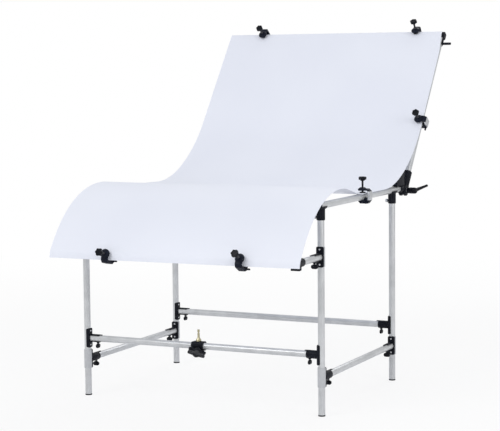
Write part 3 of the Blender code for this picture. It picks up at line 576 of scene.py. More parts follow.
# %% Tubes
TUBE_WALL = 0.0015
FOOT_CAP_HEIGHT = 0.005
FOOT_CAP_LIP = 0.0006
FOOT_PLUG_TOP = FOOT_CAP_HEIGHT * 3
END_PLUG_LOW = 0.0005
END_PLUG_TOP = 0.006


def tube(length):
    inner = TUBE_RADIUS - TUBE_WALL
    profile = [(TUBE_RADIUS, 0), (TUBE_RADIUS, length), (inner, length), (inner, 0)]
    return turned(profile, TUBE_WALL * 0.3, closed_loop=True)


def foot_cap():
    """A plastic foot whose plug goes up into the leg."""
    plug = TUBE_RADIUS - TUBE_WALL - GAP
    outer = TUBE_RADIUS + FOOT_CAP_LIP
    return turned([
        (TUBE_RADIUS * 0.6, 0), (outer, 0), (outer, FOOT_CAP_HEIGHT), (plug, FOOT_CAP_HEIGHT),
        (plug, FOOT_PLUG_TOP), (plug * 0.6, FOOT_PLUG_TOP),
    ], EDGE)


def end_plug():
    plug = TUBE_RADIUS - TUBE_WALL
    flat = plug * 0.5
    profile = [(flat, END_PLUG_LOW), (plug, END_PLUG_LOW), (plug, END_PLUG_TOP), (flat, END_PLUG_TOP)]
    return turned(profile, 0.0004)


def add_tube(name, place, length, body="root", cap=None):
    """The tube of a node, with its cap at the low end."""
    parts = [(tube(length), aluminium)]
    if cap is not None:
        parts.append((cap, black))
    return piece(name, parts, place, body, "tube_aluminium")


def along_box(name, axis, turn=Matrix.Identity(4)):
    """The low end and the length of a level or upright tube, from the box of its node."""
    end = middle(name)
    end[axis] -= size(name)[axis] / 2
    return Matrix.Translation(end) @ turn, size(name)[axis]


POST_START = 0.036
TUBE_IN_ELBOW = 0.0183
POST_LENGTH = BACK_LENGTH - TUBE_IN_ELBOW - POST_START
tubes = []
for side, sign in SIDES.items():
    for name in (f"leg_front_{side}", f"leg_rear_{side}"):
        tubes.append(add_tube(name, *along_box(name, 2), cap=foot_cap()))
    for name in (f"side_bar_{side}", f"front_arm_{side}"):
        tubes.append(add_tube(name, *along_box(name, 1, ALONG_Y)))
    tubes.append(add_tube(f"top_rail_{side}", *along_box(f"top_rail_{side}", 1, ALONG_Y), cap=end_plug()))
    post_place = BACK @ at(sign * LEG_X, 0, POST_START)
    tubes.append(add_tube(f"back_post_{side}", post_place, POST_LENGTH, "backrest"))
for name in ("front_cross_bar", "rear_cross_bar", "front_cross_tube"):
    tubes.append(add_tube(name, *along_box(name, 0, ALONG_X)))
tubes.append(add_tube("back_cross_tube", *along_box("back_cross_tube", 0, ALONG_X), "backrest"))
told(tubes)

# %% [markdown]
# The connectors grip their tubes with half-open sockets, so the tube shows through a window in
# the wall. The socket's section is a ring with a slot cut through it, drawn out along the tube.
# A tongue at the mouth springs against the tube, and a wing screw below clamps it.

# %% Flanges
SOCKET_WALL = 0.003
BORE = TUBE_RADIUS + GAP
SOCKET = TUBE_RADIUS + SOCKET_WALL
PLATE_FRONT = 0.0135
PLATE_BACK = 0.001
PLATE_HALF_WIDTH = 0.014
PLATE_HALF_HEIGHT = 0.0375
PLATE_CORNER = 0.006
SCREW_PITCH = 0.054
FLANGE_FLOOR = 0.0172
CROSS_SOCKET_END = 0.056
SIDE_SOCKET_END = 0.070
WING_BEFORE_END = 0.010
WINDOW_HALF_HEIGHT = 0.0115
SHELL_RADIUS = 0.0148
SHELL_HALF_HEIGHT = 0.036
TONGUE_WIDTH = 0.008
CROSS_TONGUE = 0.010
SIDE_TONGUE = 0.026
WING_SHAFT_LENGTH = 0.005
WING_HEIGHT = 0.017
WING_HALF_WIDTH = 0.013
WING_THICKNESS = 0.007
WING_NECK_HALF_WIDTH = 0.0045
WING_FOOT_HALF_WIDTH = WING_HALF_WIDTH * 0.6
WING_SHOULDER = WING_HEIGHT * 0.25
WING_HUB_RADIUS = WING_THICKNESS * 0.62
WING_SHAFT_RADIUS = 0.003
WING_SHAFT_TOP = 0.001
WING_CORNER = 0.004
WING_EDGE = 0.0018
WING_HUB_SHARE = 0.35
WING_HUB_OVERLAP = 0.0005
THREAD_PITCH = 0.001
THREAD_VALLEY = 0.88
WING_BOSS_RADIUS = 0.0055
WING_BOSS_DROP = 0.003
COLLAR_LIP = 0.0012
COLLAR_LENGTH = 0.003
JOIN_DEPTH = 0.002
FLANGE_OVERLAP = 0.0004
TONGUE_OVERLAP = 0.003
TONGUE_CORNER = 0.003
TONGUE_INSET = 0.0006
FAR = 1.0


def pan_screw(radius=0.0034):
    """A pan head round +Z with a socket in it, its underside at the origin."""
    return turned([
        (radius * 0.5, -0.001), (radius, -0.001), (radius, 0.0009), (radius * 0.75, 0.0016),
        (radius * 0.45, 0.0018), (radius * 0.4, 0.0008), (radius * 0.1, 0.0007),
    ], 0.0004, sides=24)


def wing_screw():
    """The plastic wing, across Y, and the steel shaft of a screw that hangs down -Z from the origin."""
    top = -WING_SHAFT_LENGTH
    low = top - WING_HEIGHT
    outline = rounded(mirrored([
        (WING_NECK_HALF_WIDTH, top), (WING_HALF_WIDTH, top - WING_SHOULDER),
        (WING_HALF_WIDTH, low + WING_SHOULDER), (WING_FOOT_HALF_WIDTH, low),
    ]), WING_CORNER)
    wing = placed(drawn(outline, -WING_THICKNESS / 2, WING_THICKNESS / 2, WING_EDGE), OUTLINE_YZ)
    hub_low = low + WING_HEIGHT * WING_HUB_SHARE
    hub = rod(WING_HUB_RADIUS, hub_low, top + WING_HUB_OVERLAP, PLATE_EDGE, sides=24)
    shaft = thread(WING_SHAFT_RADIUS, top - JOIN_DEPTH, WING_SHAFT_TOP)
    return combined(wing, [hub]), shaft


def thread(radius, low, high, pitch=THREAD_PITCH):
    """A threaded bar round Z, its ridges one pitch apart."""
    turns = int((high - low) / pitch)
    profile = [(radius * 0.5, low)]
    for k in range(turns):
        start = low + k * pitch
        profile += [(radius * THREAD_VALLEY, start), (radius, start + pitch / 2)]
    profile += [(radius * THREAD_VALLEY, high), (radius * 0.5, high)]
    return turned(profile, sides=20)


def flange(socket_end, tongue_length, window_side, with_shell):
    """Parts of a flange whose leg runs up Z through the origin and whose socket points along +X."""
    plate_outline = rounded(rectangle(PLATE_HALF_WIDTH, PLATE_HALF_HEIGHT), PLATE_CORNER, steps=5)
    plate = placed(drawn(plate_outline, PLATE_BACK, PLATE_FRONT, PLATE_EDGE), OUTLINE_YZ)
    leg_bore = rod(BORE, -PLATE_HALF_HEIGHT * 2, PLATE_HALF_HEIGHT * 2)
    root = placed(rod(SOCKET, PLATE_FRONT - JOIN_DEPTH, FLANGE_FLOOR + FLANGE_OVERLAP), ALONG_X)
    hidden = SOCKET - JOIN_DEPTH
    collar_profile = [(hidden, 0), (SOCKET + COLLAR_LIP, 0), (hidden, COLLAR_LENGTH)]
    collar = placed(turned(collar_profile, SMALL_EDGE), at(PLATE_FRONT - FLANGE_OVERLAP), ALONG_X)
    body = combined(plate, [root], [leg_bore])
    facing = HALF_TURN if window_side < 0 else Matrix.Identity(4)
    wall = placed(
        drawn(open_ring(SOCKET, BORE, WINDOW_HALF_HEIGHT), FLANGE_FLOOR, socket_end, NUT_EDGE),
        ALONG_X, facing @ Matrix.Rotation(radians(90), 4, "Z"),
    )
    tongue_outline = rounded([
        (socket_end - TONGUE_OVERLAP, -TONGUE_WIDTH / 2), (socket_end + tongue_length, -TONGUE_WIDTH / 2),
        (socket_end + tongue_length, TONGUE_WIDTH / 2), (socket_end - TONGUE_OVERLAP, TONGUE_WIDTH / 2),
    ], TONGUE_CORNER, steps=4)
    tongue = drawn(tongue_outline, BORE + GAP, SOCKET - TONGUE_INSET, FINE_EDGE)
    wing, shaft = wing_screw()
    under = at(socket_end - WING_BEFORE_END, 0, -SOCKET)
    boss = placed(rod(WING_BOSS_RADIUS, -WING_BOSS_DROP, JOIN_DEPTH, SMALL_EDGE, sides=24), under)
    parts = [
        (body, black), (collar, black), (wall, black), (tongue, black), (boss, black),
        (placed(wing, under), knob_black), (placed(shaft, under), steel),
    ]
    for height in (-SCREW_PITCH / 2, SCREW_PITCH / 2):
        parts.append((placed(pan_screw(), at(PLATE_FRONT, 0, height), ALONG_X), steel))
    if with_shell:
        half_ring = open_ring(SHELL_RADIUS, BORE, BORE * 0.999)
        parts.append((drawn(half_ring, -SHELL_HALF_HEIGHT, SHELL_HALF_HEIGHT, SMALL_EDGE), grey))
    return parts


def add_flanges():
    cross = flange(CROSS_SOCKET_END, CROSS_TONGUE, -1, False)
    reaching = flange(SIDE_SOCKET_END, SIDE_TONGUE, 1, True)
    to_rear = Matrix.Rotation(radians(90), 4, "Z")
    to_front = Matrix.Rotation(radians(-90), 4, "Z")
    places = {}
    for side, sign in SIDES.items():
        x = sign * LEG_X
        inward = HALF_TURN if sign > 0 else Matrix.Identity(4)
        places[f"cross_flange_front_{side}"] = (cross, at(x, FRONT_LEG_Y, CROSS_BAR_Z) @ inward)
        places[f"cross_flange_rear_{side}"] = (cross, at(x, REAR_LEG_Y, CROSS_BAR_Z) @ inward)
        places[f"side_flange_front_{side}"] = (reaching, at(x, FRONT_LEG_Y, SIDE_BAR_Z) @ to_rear)
        places[f"side_flange_rear_{side}"] = (reaching, at(x, REAR_LEG_Y, SIDE_BAR_Z) @ to_front)
        places[f"arm_flange_{side}"] = (reaching, at(x, FRONT_LEG_Y, ARM_Z) @ to_front)
    return [
        piece(name, parts, place, "root", "connector_black")
        for name, (parts, place) in places.items()
    ]


told(add_flanges())

# %% [markdown]
# A tee is one moulding: a socket on the leg, an open cradle under the rail and a web between
# them. Joining three rounded bodies and cutting both tubes out of them gives the same lines as
# the real mould, where the parts run into each other.

# %% Tees
TEE_SOCKET_DROP = 0.052
TEE_FLOOR = 0.0037
TEE_CRADLE_TOP = -0.003
TEE_CRADLE = 0.028
TEE_WEB_THICKNESS = 0.012
TEE_WEB_SPREAD = 0.0035
TEE_WEB_LOW = -0.045
TEE_SCREW_DROP = 0.0415
TEE_WEB_INSET = 0.0024
TEE_WEB_CORNER = 0.003
TEE_WEB_EDGE = 0.002
TEE_BOSS_HEIGHT = 0.0012
TEE_BOSS_RADIUS = 0.0062
TEE_SCREW_NECK_RADIUS = 0.0042
TEE_SCREW_NECK = 0.003
TEE_SCREW_RADIUS = 0.007
TEE_SCREW_HEIGHT = 0.0115


def tee(sign):
    """Parts of a tee with its rail along Y through the origin and its leg below."""
    cradle = placed(rod(SOCKET, -TEE_CRADLE, TEE_CRADLE, PLATE_EDGE), ALONG_Y)
    socket = rod(SOCKET, -TEE_SOCKET_DROP, TEE_CRADLE_TOP * 2, SOCKET_EDGE)
    foot = SOCKET + TEE_WEB_SPREAD
    top = TEE_CRADLE - TEE_WEB_INSET
    web_outline = mirrored([(top, -TUBE_RADIUS), (foot, TEE_WEB_LOW)])
    half = TEE_WEB_THICKNESS / 2
    web_outline = rounded(web_outline, TEE_WEB_CORNER)
    web = placed(drawn(web_outline, -half, half, TEE_WEB_EDGE), OUTLINE_YZ)
    leg_bore = rod(BORE, -TEE_SOCKET_DROP * 2, -BORE - TEE_FLOOR)
    rail_bore = placed(rod(BORE, -FAR, FAR), ALONG_Y)
    above = box((-FAR, FAR), (-FAR, FAR), (TEE_CRADLE_TOP, FAR), 0)
    body = combined(cradle, [socket, web], [leg_bore, rail_bore, above])
    outward = Matrix.Rotation(radians(90 * -sign), 4, "Y")
    knob_place = at(0, 0, -TEE_SCREW_DROP) @ outward
    boss = rod(TEE_BOSS_RADIUS, SOCKET - JOIN_DEPTH, SOCKET + TEE_BOSS_HEIGHT, FINE_EDGE, sides=24)
    head = SOCKET + TEE_SCREW_NECK
    crown = SOCKET + TEE_SCREW_HEIGHT
    screw = turned([
        (0.002, SOCKET), (TEE_SCREW_NECK_RADIUS, SOCKET), (TEE_SCREW_NECK_RADIUS, head),
        (TEE_SCREW_RADIUS, head), (TEE_SCREW_RADIUS, crown - 0.0015), (TEE_SCREW_RADIUS * 0.7, crown),
        (0.0022, crown), (0.002, crown - 0.0025),
    ], NUT_EDGE, sides=24)
    return [(body, black), (placed(boss, knob_place), black), (placed(screw, knob_place), steel)]


def add_tees():
    made = []
    for side, sign in SIDES.items():
        parts = tee(sign)
        for end, y in (("front", FRONT_LEG_Y), ("rear", REAR_LEG_Y)):
            place = at(sign * LEG_X, y, RAIL_Z)
            made.append(piece(f"tee_{end}_{side}", parts, place, "root", "connector_black"))
    return made


told(add_tees())

# %% [markdown]
# The corner elbows hold two tubes at a right angle. Each has a square knuckle with two flat faces
# cut where the sheet bends over it, and a thin locking tab that can point anywhere. The front
# right tab has a foot behind it. The left elbows are mirrored, and their normals turned back.

# %% Elbows
ELBOW_ARM_LENGTH = 0.049
ELBOW_POST_LENGTH = 0.052
ELBOW_INWARD_LENGTH = 0.038
ELBOW_FLOOR = 0.018
ELBOW_FACE = 0.0075
ELBOW_KNUCKLE_ROOM = 0.0007
ELBOW_CORNER = 0.006
ELBOW_TAB_LENGTH = 0.036
ELBOW_LOW_TAB_INWARD = 0.020
ELBOW_TAB_DEPTH = 0.0095
ELBOW_TAB_THICKNESS = 0.007
ELBOW_TAB_DROP = 0.0505
ELBOW_TAB_ROOT = 0.003
ELBOW_FOOT_LENGTH = 0.017
ELBOW_FOOT_WIDTH = 0.013
ELBOW_TAB_EDGE = 0.0014
ELBOW_EDGE = 0.003
SHEET_FRONT_SLOPE = radians(34)
SHEET_WRAP = radians(20)
SLOPING = Matrix.Rotation(-SHEET_FRONT_SLOPE, 4, "X")
HANGING = Matrix.Rotation(SHEET_WRAP - SHEET_FRONT_SLOPE, 4, "X")
WRAPPED = Matrix.Rotation(-SHEET_WRAP, 4, "X")


def elbow(turn, length, face_turns, tabs):
    """A right-hand corner at the origin: one socket inward along -X, one along the turned +Z."""
    half = SOCKET + ELBOW_KNUCKLE_ROOM
    knuckle_outline = rounded(rectangle(half, half), ELBOW_CORNER, steps=5)
    knuckle = placed(drawn(knuckle_outline, -half, half, ELBOW_EDGE), turn, ALONG_FRONT)
    start = SOCKET / 2
    inward = placed(rod(SOCKET, start, ELBOW_INWARD_LENGTH, SOCKET_EDGE), ALONG_X.inverted())
    along = placed(rod(SOCKET, start, length, SOCKET_EDGE), turn)
    inward_bore = placed(rod(BORE, ELBOW_FLOOR, ELBOW_INWARD_LENGTH * 2), ALONG_X.inverted())
    along_bore = placed(rod(BORE, ELBOW_FLOOR, length * 2), turn)
    face = box((-FAR, FAR), (-FAR, -ELBOW_FACE), (-FAR, FAR), 0)
    faces = [placed(face, face_turn) for face_turn in face_turns]
    return combined(knuckle, [inward, along, *tabs], [inward_bore, along_bore, *faces])


def add_elbows():
    half = ELBOW_TAB_THICKNESS / 2
    inner = SOCKET - ELBOW_TAB_ROOT
    outer = SOCKET + ELBOW_TAB_DEPTH
    across = (-half, half)
    up_post = (-ELBOW_TAB_DROP, ELBOW_TAB_DEPTH - ELBOW_TAB_DROP)
    low = (-outer, -inner)
    below = box((-ELBOW_LOW_TAB_INWARD, SOCKET), across, low, ELBOW_TAB_EDGE)
    foot = box((SOCKET - ELBOW_FOOT_WIDTH, SOCKET), (0, ELBOW_FOOT_LENGTH), low, ELBOW_EDGE)
    behind = box((-ELBOW_TAB_LENGTH, -inner), (inner, outer), across, ELBOW_TAB_EDGE)
    outward = box((inner, SOCKET + ELBOW_TAB_LENGTH), across, up_post, ELBOW_TAB_EDGE)
    inward = box((-SOCKET - ELBOW_TAB_LENGTH, -inner), across, up_post, ELBOW_TAB_EDGE)
    tabs = {"left": ([behind], [inward]), "right": ([below, foot], [outward])}
    down_post = Matrix.Rotation(pi, 4, "X")
    upright = Matrix.Identity(4)
    made = []
    for side, sign in SIDES.items():
        flip = MIRROR_X if sign < 0 else upright
        front_tab, rear_tab = tabs[side]
        front = elbow(ALONG_Y, ELBOW_ARM_LENGTH, (SLOPING, HANGING), front_tab)
        rear = elbow(down_post, ELBOW_POST_LENGTH, (upright, WRAPPED), rear_tab)
        rows = (
            ("front", front, at(sign * LEG_X, FRONT_TUBE_Y, ARM_Z), "root"),
            ("back", rear, BACK @ at(sign * LEG_X, 0, BACK_LENGTH), "backrest"),
        )
        for end, shape, place, body in rows:
            parts = [(placed(shape, flip), black)]
            made.append(piece(f"{end}_elbow_{side}", parts, place, body, "connector_black"))
    return made


told(add_elbows())

# %% [markdown]
# One sheet of thin plastic hangs over the whole table: down over the front tube, up over a crest,
# flat along the rails and up the back in a long bend. Its side view is drawn with smooth curves,
# and every row of the sheet follows that line. It lies a little askew, as a clamped sheet does.

# %% Sheet
SHEET_THICKNESS = 0.0015
SHEET_OFFSET = TUBE_RADIUS + GAP + SHEET_THICKNESS / 2
SHEET_FACE = SHEET_OFFSET + SHEET_THICKNESS / 2
SHEET_EDGE_PAST_SEAT = 0.0195
SHEET_EDGE_PAST_TOP = 0.007
SHEET_WRAP_STEPS = 8
SHEET_CREST_BEHIND_LEGS = 0.150
SHEET_CREST_RISE = 0.0365
SHEET_FLAT_START = 0.370
SHEET_FLAT_END_BEFORE_LEGS = 0.125
SHEET_MEETS_BACK = 0.3125
SHEET_RISE_SHARE = 0.88
SHEET_CREST_PULL = 0.130
SHEET_SETTLE_PULL = 0.080
SHEET_BEND_PULL = 0.165
SHEET_SIZE = (1.014, 1.938)
SHEET_NARROWS = 0.008
SHEET_NARROWS_FROM = 1.2
SHEET_TUCK = 0.009
SHEET_TUCK_REACH = 0.12
SHEET_TURN = 0.004
SHEET_TURNS_ABOUT = (0.30, 1.0)
SHEET_FLOAT = 0.008
SHEET_FLOATS_PAST = 0.30
SHEET_FLOAT_WIDTH = 0.2
SHEET_FLOATS_AT = 0.80
SHEET_FLOAT_REACH = 0.36
SHEET_COLUMNS = 36
SHEET_ROW_SPACING = 0.012
LEVEL = Vector((1, 0))
UP_POST = Vector((sin(BACK_LEAN), cos(BACK_LEAN)))
OFF_POST = Vector((-UP_POST.y, UP_POST.x))
MEETS_BACK = HINGE.yz + UP_POST * SHEET_MEETS_BACK + OFF_POST * SHEET_OFFSET


def bezier(start, start_pull, end_pull, end, steps=40):
    points = []
    for k in range(1, steps + 1):
        t = k / steps
        s = 1 - t
        points.append(s ** 3 * start + 3 * s * s * t * start_pull + 3 * s * t * t * end_pull + t ** 3 * end)
    return points


def slope_line(slope):
    """The way up a line that leans back from the upright by an angle."""
    return Vector((sin(slope), cos(slope)))


def round_tube(axis, slope, turn):
    """The sheet's points over a tube as it goes up, from one slope through a turn."""
    angles = [slope + turn * k / SHEET_WRAP_STEPS for k in range(SHEET_WRAP_STEPS + 1)]
    return [axis + Vector((-cos(angle), sin(angle))) * SHEET_OFFSET for angle in angles]


def sheet_line():
    """The middle of the sheet seen from the side, as (y, z) points from front to top."""
    up_slope = slope_line(SHEET_FRONT_SLOPE)
    over_front = round_tube(Vector((FRONT_TUBE_Y, ARM_Z)), SHEET_FRONT_SLOPE - SHEET_WRAP, SHEET_WRAP)
    leaves_tube = over_front[-1] + up_slope * SHEET_EDGE_PAST_SEAT
    flat_height = RAIL_Z + SHEET_OFFSET
    crest = Vector((FRONT_LEG_Y + SHEET_CREST_BEHIND_LEGS, flat_height + SHEET_CREST_RISE))
    flat_start = Vector((FRONT_LEG_Y + SHEET_FLAT_START, flat_height))
    flat_end = Vector((REAR_LEG_Y - SHEET_FLAT_END_BEFORE_LEGS, flat_height))
    rise_pull = (crest.y - leaves_tube.y) * SHEET_RISE_SHARE
    over_top = round_tube(HINGE.yz + UP_POST * BACK_LENGTH, BACK_LEAN, SHEET_WRAP)
    edge = over_front[0] - slope_line(SHEET_FRONT_SLOPE - SHEET_WRAP) * SHEET_EDGE_PAST_SEAT
    line = [edge, *over_front, leaves_tube]
    line += bezier(leaves_tube, leaves_tube + up_slope * rise_pull, crest - LEVEL * SHEET_CREST_PULL, crest)
    settle = LEVEL * SHEET_SETTLE_PULL
    line += bezier(crest, crest + settle, flat_start - settle, flat_start)
    line.append(flat_end)
    bend_end = MEETS_BACK - UP_POST * SHEET_BEND_PULL
    line += bezier(flat_end, flat_end + LEVEL * SHEET_BEND_PULL, bend_end, MEETS_BACK)
    line += [*over_top, over_top[-1] + slope_line(BACK_LEAN + SHEET_WRAP) * SHEET_EDGE_PAST_TOP]
    return line


class SideLine:
    """A line of points that can be asked for the place and the facing a length along it."""

    def __init__(self, points):
        self.points = points
        self.lengths = [0.0]
        for before, after in zip(points, points[1:]):
            self.lengths.append(self.lengths[-1] + (after - before).length)

    def find(self, length):
        k = 1
        while k < len(self.points) - 1 and self.lengths[k] < length:
            k += 1
        before, after = self.points[k - 1], self.points[k]
        along = (after - before).normalized()
        return before + along * (length - self.lengths[k - 1]), along


def swell(value, middle_at, reach):
    """A smooth hump, 1 at its middle and 0 from its reach on."""
    share = min(1, abs(value - middle_at) / reach)
    return (1 + cos(pi * share)) / 2


def narrowing(length):
    """How far along the back a row is, from 0 at the bend to 1 at the top edge."""
    return max(0, (length - SHEET_NARROWS_FROM) / (SHEET_SIZE[1] - SHEET_NARROWS_FROM))


def sheet_lift(x, length):
    """How far the sheet stands off its resting line: its left edge floats over the rail."""
    left_edge = max(0.0, min(1.0, (-SHEET_FLOATS_PAST - x) / SHEET_FLOAT_WIDTH))
    return SHEET_FLOAT * left_edge ** 2 * swell(length, SHEET_FLOATS_AT, SHEET_FLOAT_REACH)


def sheet_x(cut_x, cut_length):
    """Where a point of the flat sheet lies across the table: turned, tucked in and narrowed."""
    share = cut_x / SHEET_SIZE[0] * 2
    x = cut_x + SHEET_TURN * (SHEET_TURNS_ABOUT[1] - cut_length)
    x -= SHEET_TUCK * max(0, share) * swell(cut_length, SHEET_SIZE[1], SHEET_TUCK_REACH)
    return x + SHEET_NARROWS * max(0, -share) * narrowing(cut_length)


def sheet_mesh(line):
    """Both faces of the sheet and its four edges."""
    rows = int(SHEET_SIZE[1] / SHEET_ROW_SPACING)
    shape = bmesh.new()
    faces = []
    for row in range(rows + 1):
        tops = []
        lows = []
        for column in range(SHEET_COLUMNS + 1):
            cut_x = (column / SHEET_COLUMNS - 0.5) * SHEET_SIZE[0]
            cut_length = line.lengths[-1] * row / rows
            x = sheet_x(cut_x, cut_length)
            length = cut_length + SHEET_TURN * (cut_x - SHEET_TURNS_ABOUT[0])
            point, along = line.find(length)
            off = Vector((-along.y, along.x))
            lift = sheet_lift(x, length)
            top = point + off * (lift + SHEET_THICKNESS / 2)
            low = point + off * (lift - SHEET_THICKNESS / 2)
            tops.append(shape.verts.new((x, *top)))
            lows.append(shape.verts.new((x, *low)))
        faces.append((tops, lows))
    for (tops, lows), (next_tops, next_lows) in zip(faces, faces[1:]):
        for k in range(SHEET_COLUMNS):
            shape.faces.new((tops[k], tops[k + 1], next_tops[k + 1], next_tops[k]))
            shape.faces.new((lows[k + 1], lows[k], next_lows[k], next_lows[k + 1]))
        shape.faces.new((lows[0], tops[0], next_tops[0], next_lows[0]))
        shape.faces.new((tops[-1], lows[-1], next_lows[-1], next_tops[-1]))
    for tops, lows in (faces[0], faces[-1]):
        for k in range(SHEET_COLUMNS):
            shape.faces.new((tops[k], lows[k], lows[k + 1], tops[k + 1]))
    bmesh.ops.recalc_face_normals(shape, faces=shape.faces)
    mesh = bpy.data.meshes.new("white_sheet")
    shape.to_mesh(mesh)
    shape.free()
    return mesh


def add_sheet():
    line = SideLine(sheet_line())
    mesh = sheet_mesh(line)
    mesh.materials.append(sheet_white)
    mesh.shade_smooth()
    mesh.set_sharp_from_angle(angle=radians(50))
    sheet = bpy.data.objects.new("white_sheet", mesh)
    scene.collection.objects.link(sheet)
    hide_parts("sheet_seat", "sheet_bend", "sheet_back")
    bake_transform(sheet)
    print("sheet line", round(line.lengths[-1], 4), "m long")


add_sheet()

# %% [markdown]
# Each pivot joins a rail to a leaning post. The base has a round lug between the two cheeks of
# the yoke, and a lever clamps them with a stud. A rib on the base rises close below the sheet's
# bend, so its top edge is worked out from the sheet's own line.

# %% Pivots
LUG_RADIUS = 0.018
LUG_HALF_THICKNESS = 0.005
NECK_HALF_HEIGHT = 0.0125
NECK_OVERLAP = 0.0024
RAIL_SOCKET_START = 0.062
RAIL_SOCKET_END = 0.026
RAIL_END_BEFORE_HINGE = 0.034
CHEEK_RADIUS = 0.022
SHOULDER_SHARE = 0.75
SHOULDER_CORNER = 0.003
SHOULDER_OVERLAP = 0.004
CHEEK_THICKNESS = 0.009
YOKE_HALF_WIDTH = LUG_HALF_THICKNESS + GAP + CHEEK_THICKNESS
YOKE_WEB_START = 0.019
YOKE_SOCKET_START = 0.026
YOKE_SOCKET_END = 0.088
YOKE_SOCKET_WALL = 0.005
FIN_THICKNESS = 0.030
FIN_BEFORE_HINGE = 0.027
FIN_LEAST_HEIGHT = 0.003
FIN_FOOT = HINGE_DROP + BORE + GAP
SHEET_CLEARANCE = 0.005
STUD_RADIUS = 0.004
STUD_PAST_NUT = 0.0025
WASHER_RADIUS = 0.009
WASHER_THICKNESS = 0.003
NUT_RADIUS = 0.0075
NUT_THICKNESS = 0.006
LEVER_HUB_RADIUS = 0.0125
LEVER_HUB_LENGTH = 0.040
LEVER_ARM_EDGE = 0.003
LEVER_ARM_LENGTH = 0.072
LEVER_ARM_INWARD = 0.25
LEVER_DIRECTION = Vector((0.035, 0.062, 0.018))


def fin_top():
    """Points a clearance below the sheet's bend, from the hinge."""
    line = sheet_line()
    below = []
    for before, after in zip(line, line[1:]):
        along = (after - before).normalized()
        below.append((before + after) / 2 + Vector((along.y, -along.x)) * SHEET_CLEARANCE - HINGE.yz)
    least = FIN_FOOT + FIN_LEAST_HEIGHT
    low_y = -RAIL_SOCKET_START * 2
    return [point for point in below if low_y < point.x < -FIN_BEFORE_HINGE and point.y > least]


def pivot_base():
    lug = placed(rod(LUG_RADIUS, -LUG_HALF_THICKNESS, LUG_HALF_THICKNESS, EDGE), ALONG_X)
    half = LUG_HALF_THICKNESS
    neck_y = (-RAIL_SOCKET_END - NECK_OVERLAP, 0)
    neck = box((-half, half), neck_y, (-NECK_HALF_HEIGHT, NECK_HALF_HEIGHT), SOCKET_EDGE)
    rail = at(0, 0, HINGE_DROP)
    socket = placed(rod(SOCKET, RAIL_SOCKET_END, RAIL_SOCKET_START, PLATE_EDGE), rail, ALONG_FRONT)
    top = fin_top()
    fin_outline = [(top[0].x, FIN_FOOT), (-FIN_BEFORE_HINGE, FIN_FOOT), (-FIN_BEFORE_HINGE, top[-1].y)]
    fin_outline += top[::-1]
    fin = placed(drawn(fin_outline, -FIN_THICKNESS / 2, FIN_THICKNESS / 2), OUTLINE_YZ)
    rail_bore = placed(rod(BORE, -FAR, GAP - RAIL_END_BEFORE_HINGE), rail, ALONG_Y)
    stud_hole = placed(rod(STUD_RADIUS + GAP, -FAR, FAR), ALONG_X)
    return combined(socket, [neck, lug, fin], [rail_bore, stud_hole])


def pivot_yoke():
    cheeks = placed(rod(CHEEK_RADIUS, -YOKE_HALF_WIDTH, YOKE_HALF_WIDTH, HEAD_EDGE), ALONG_X)
    half = CHEEK_RADIUS * SHOULDER_SHARE
    shoulder_outline = rounded(rectangle(YOKE_HALF_WIDTH - GAP, half), SHOULDER_CORNER)
    shoulder = drawn(shoulder_outline, 0, YOKE_SOCKET_START + SHOULDER_OVERLAP, HUB_EDGE)
    socket = rod(TUBE_RADIUS + YOKE_SOCKET_WALL, YOKE_SOCKET_START, YOKE_SOCKET_END, CASTING_EDGE)
    slot_half = LUG_HALF_THICKNESS + GAP
    slot = box((-slot_half, slot_half), (-FAR, FAR), (-FAR, YOKE_WEB_START), 0)
    post_bore = rod(BORE, POST_START - GAP, YOKE_SOCKET_END * 2)
    stud_hole = placed(rod(STUD_RADIUS + GAP, -FAR, FAR), ALONG_X)
    return combined(shoulder, [cheeks, socket], [slot, post_bore, stud_hole])


def pointing(direction, axis="Z"):
    """The turn that points an axis along a direction."""
    return direction.to_track_quat(axis, "Y").to_matrix().to_4x4()


def pivot_lever():
    """Parts of a right-hand lever: its stud, washer and nut in steel, its hub and arm in plastic."""
    washer_start = YOKE_HALF_WIDTH + GAP
    hub_start = washer_start + WASHER_THICKNESS
    hub_end = hub_start + LEVER_HUB_LENGTH
    nut_end = -washer_start - NUT_THICKNESS
    stud = placed(rod(STUD_RADIUS, nut_end - STUD_PAST_NUT, hub_start + JOIN_DEPTH, FINE_EDGE), ALONG_X)
    washer = placed(turned([
        (STUD_RADIUS, washer_start), (WASHER_RADIUS, washer_start), (WASHER_RADIUS, hub_start),
        (STUD_RADIUS, hub_start),
    ], FINE_EDGE), ALONG_X)
    hexagon = arc(NUT_RADIUS, 0, 300, 5)
    nut = placed(drawn(hexagon, nut_end, -washer_start, NUT_EDGE), ALONG_X)
    hub = placed(turned([
        (0.005, hub_start), (LEVER_HUB_RADIUS * 0.9, hub_start), (LEVER_HUB_RADIUS, hub_start + 0.014),
        (LEVER_HUB_RADIUS, hub_end - 0.006), (LEVER_HUB_RADIUS * 0.7, hub_end), (0.005, hub_end),
        (0.004, hub_end - 0.0015), (0.001, hub_end - 0.0015),
    ], HUB_EDGE), ALONG_X)
    root = at(hub_end - LEVER_HUB_LENGTH * LEVER_ARM_INWARD)
    arm = placed(turned([
        (0.001, -0.002), (0.0082, -0.002), (0.0062, LEVER_ARM_LENGTH * 0.45), (0.005, LEVER_ARM_LENGTH * 0.8),
        (0.0052, LEVER_ARM_LENGTH - 0.003), (0.0035, LEVER_ARM_LENGTH), (0.0005, LEVER_ARM_LENGTH),
    ], LEVER_ARM_EDGE, sides=32), root, pointing(LEVER_DIRECTION))
    handle = combined(hub, [arm])
    return [(handle, knob_black), (stud, steel), (washer, steel), (nut, steel)]


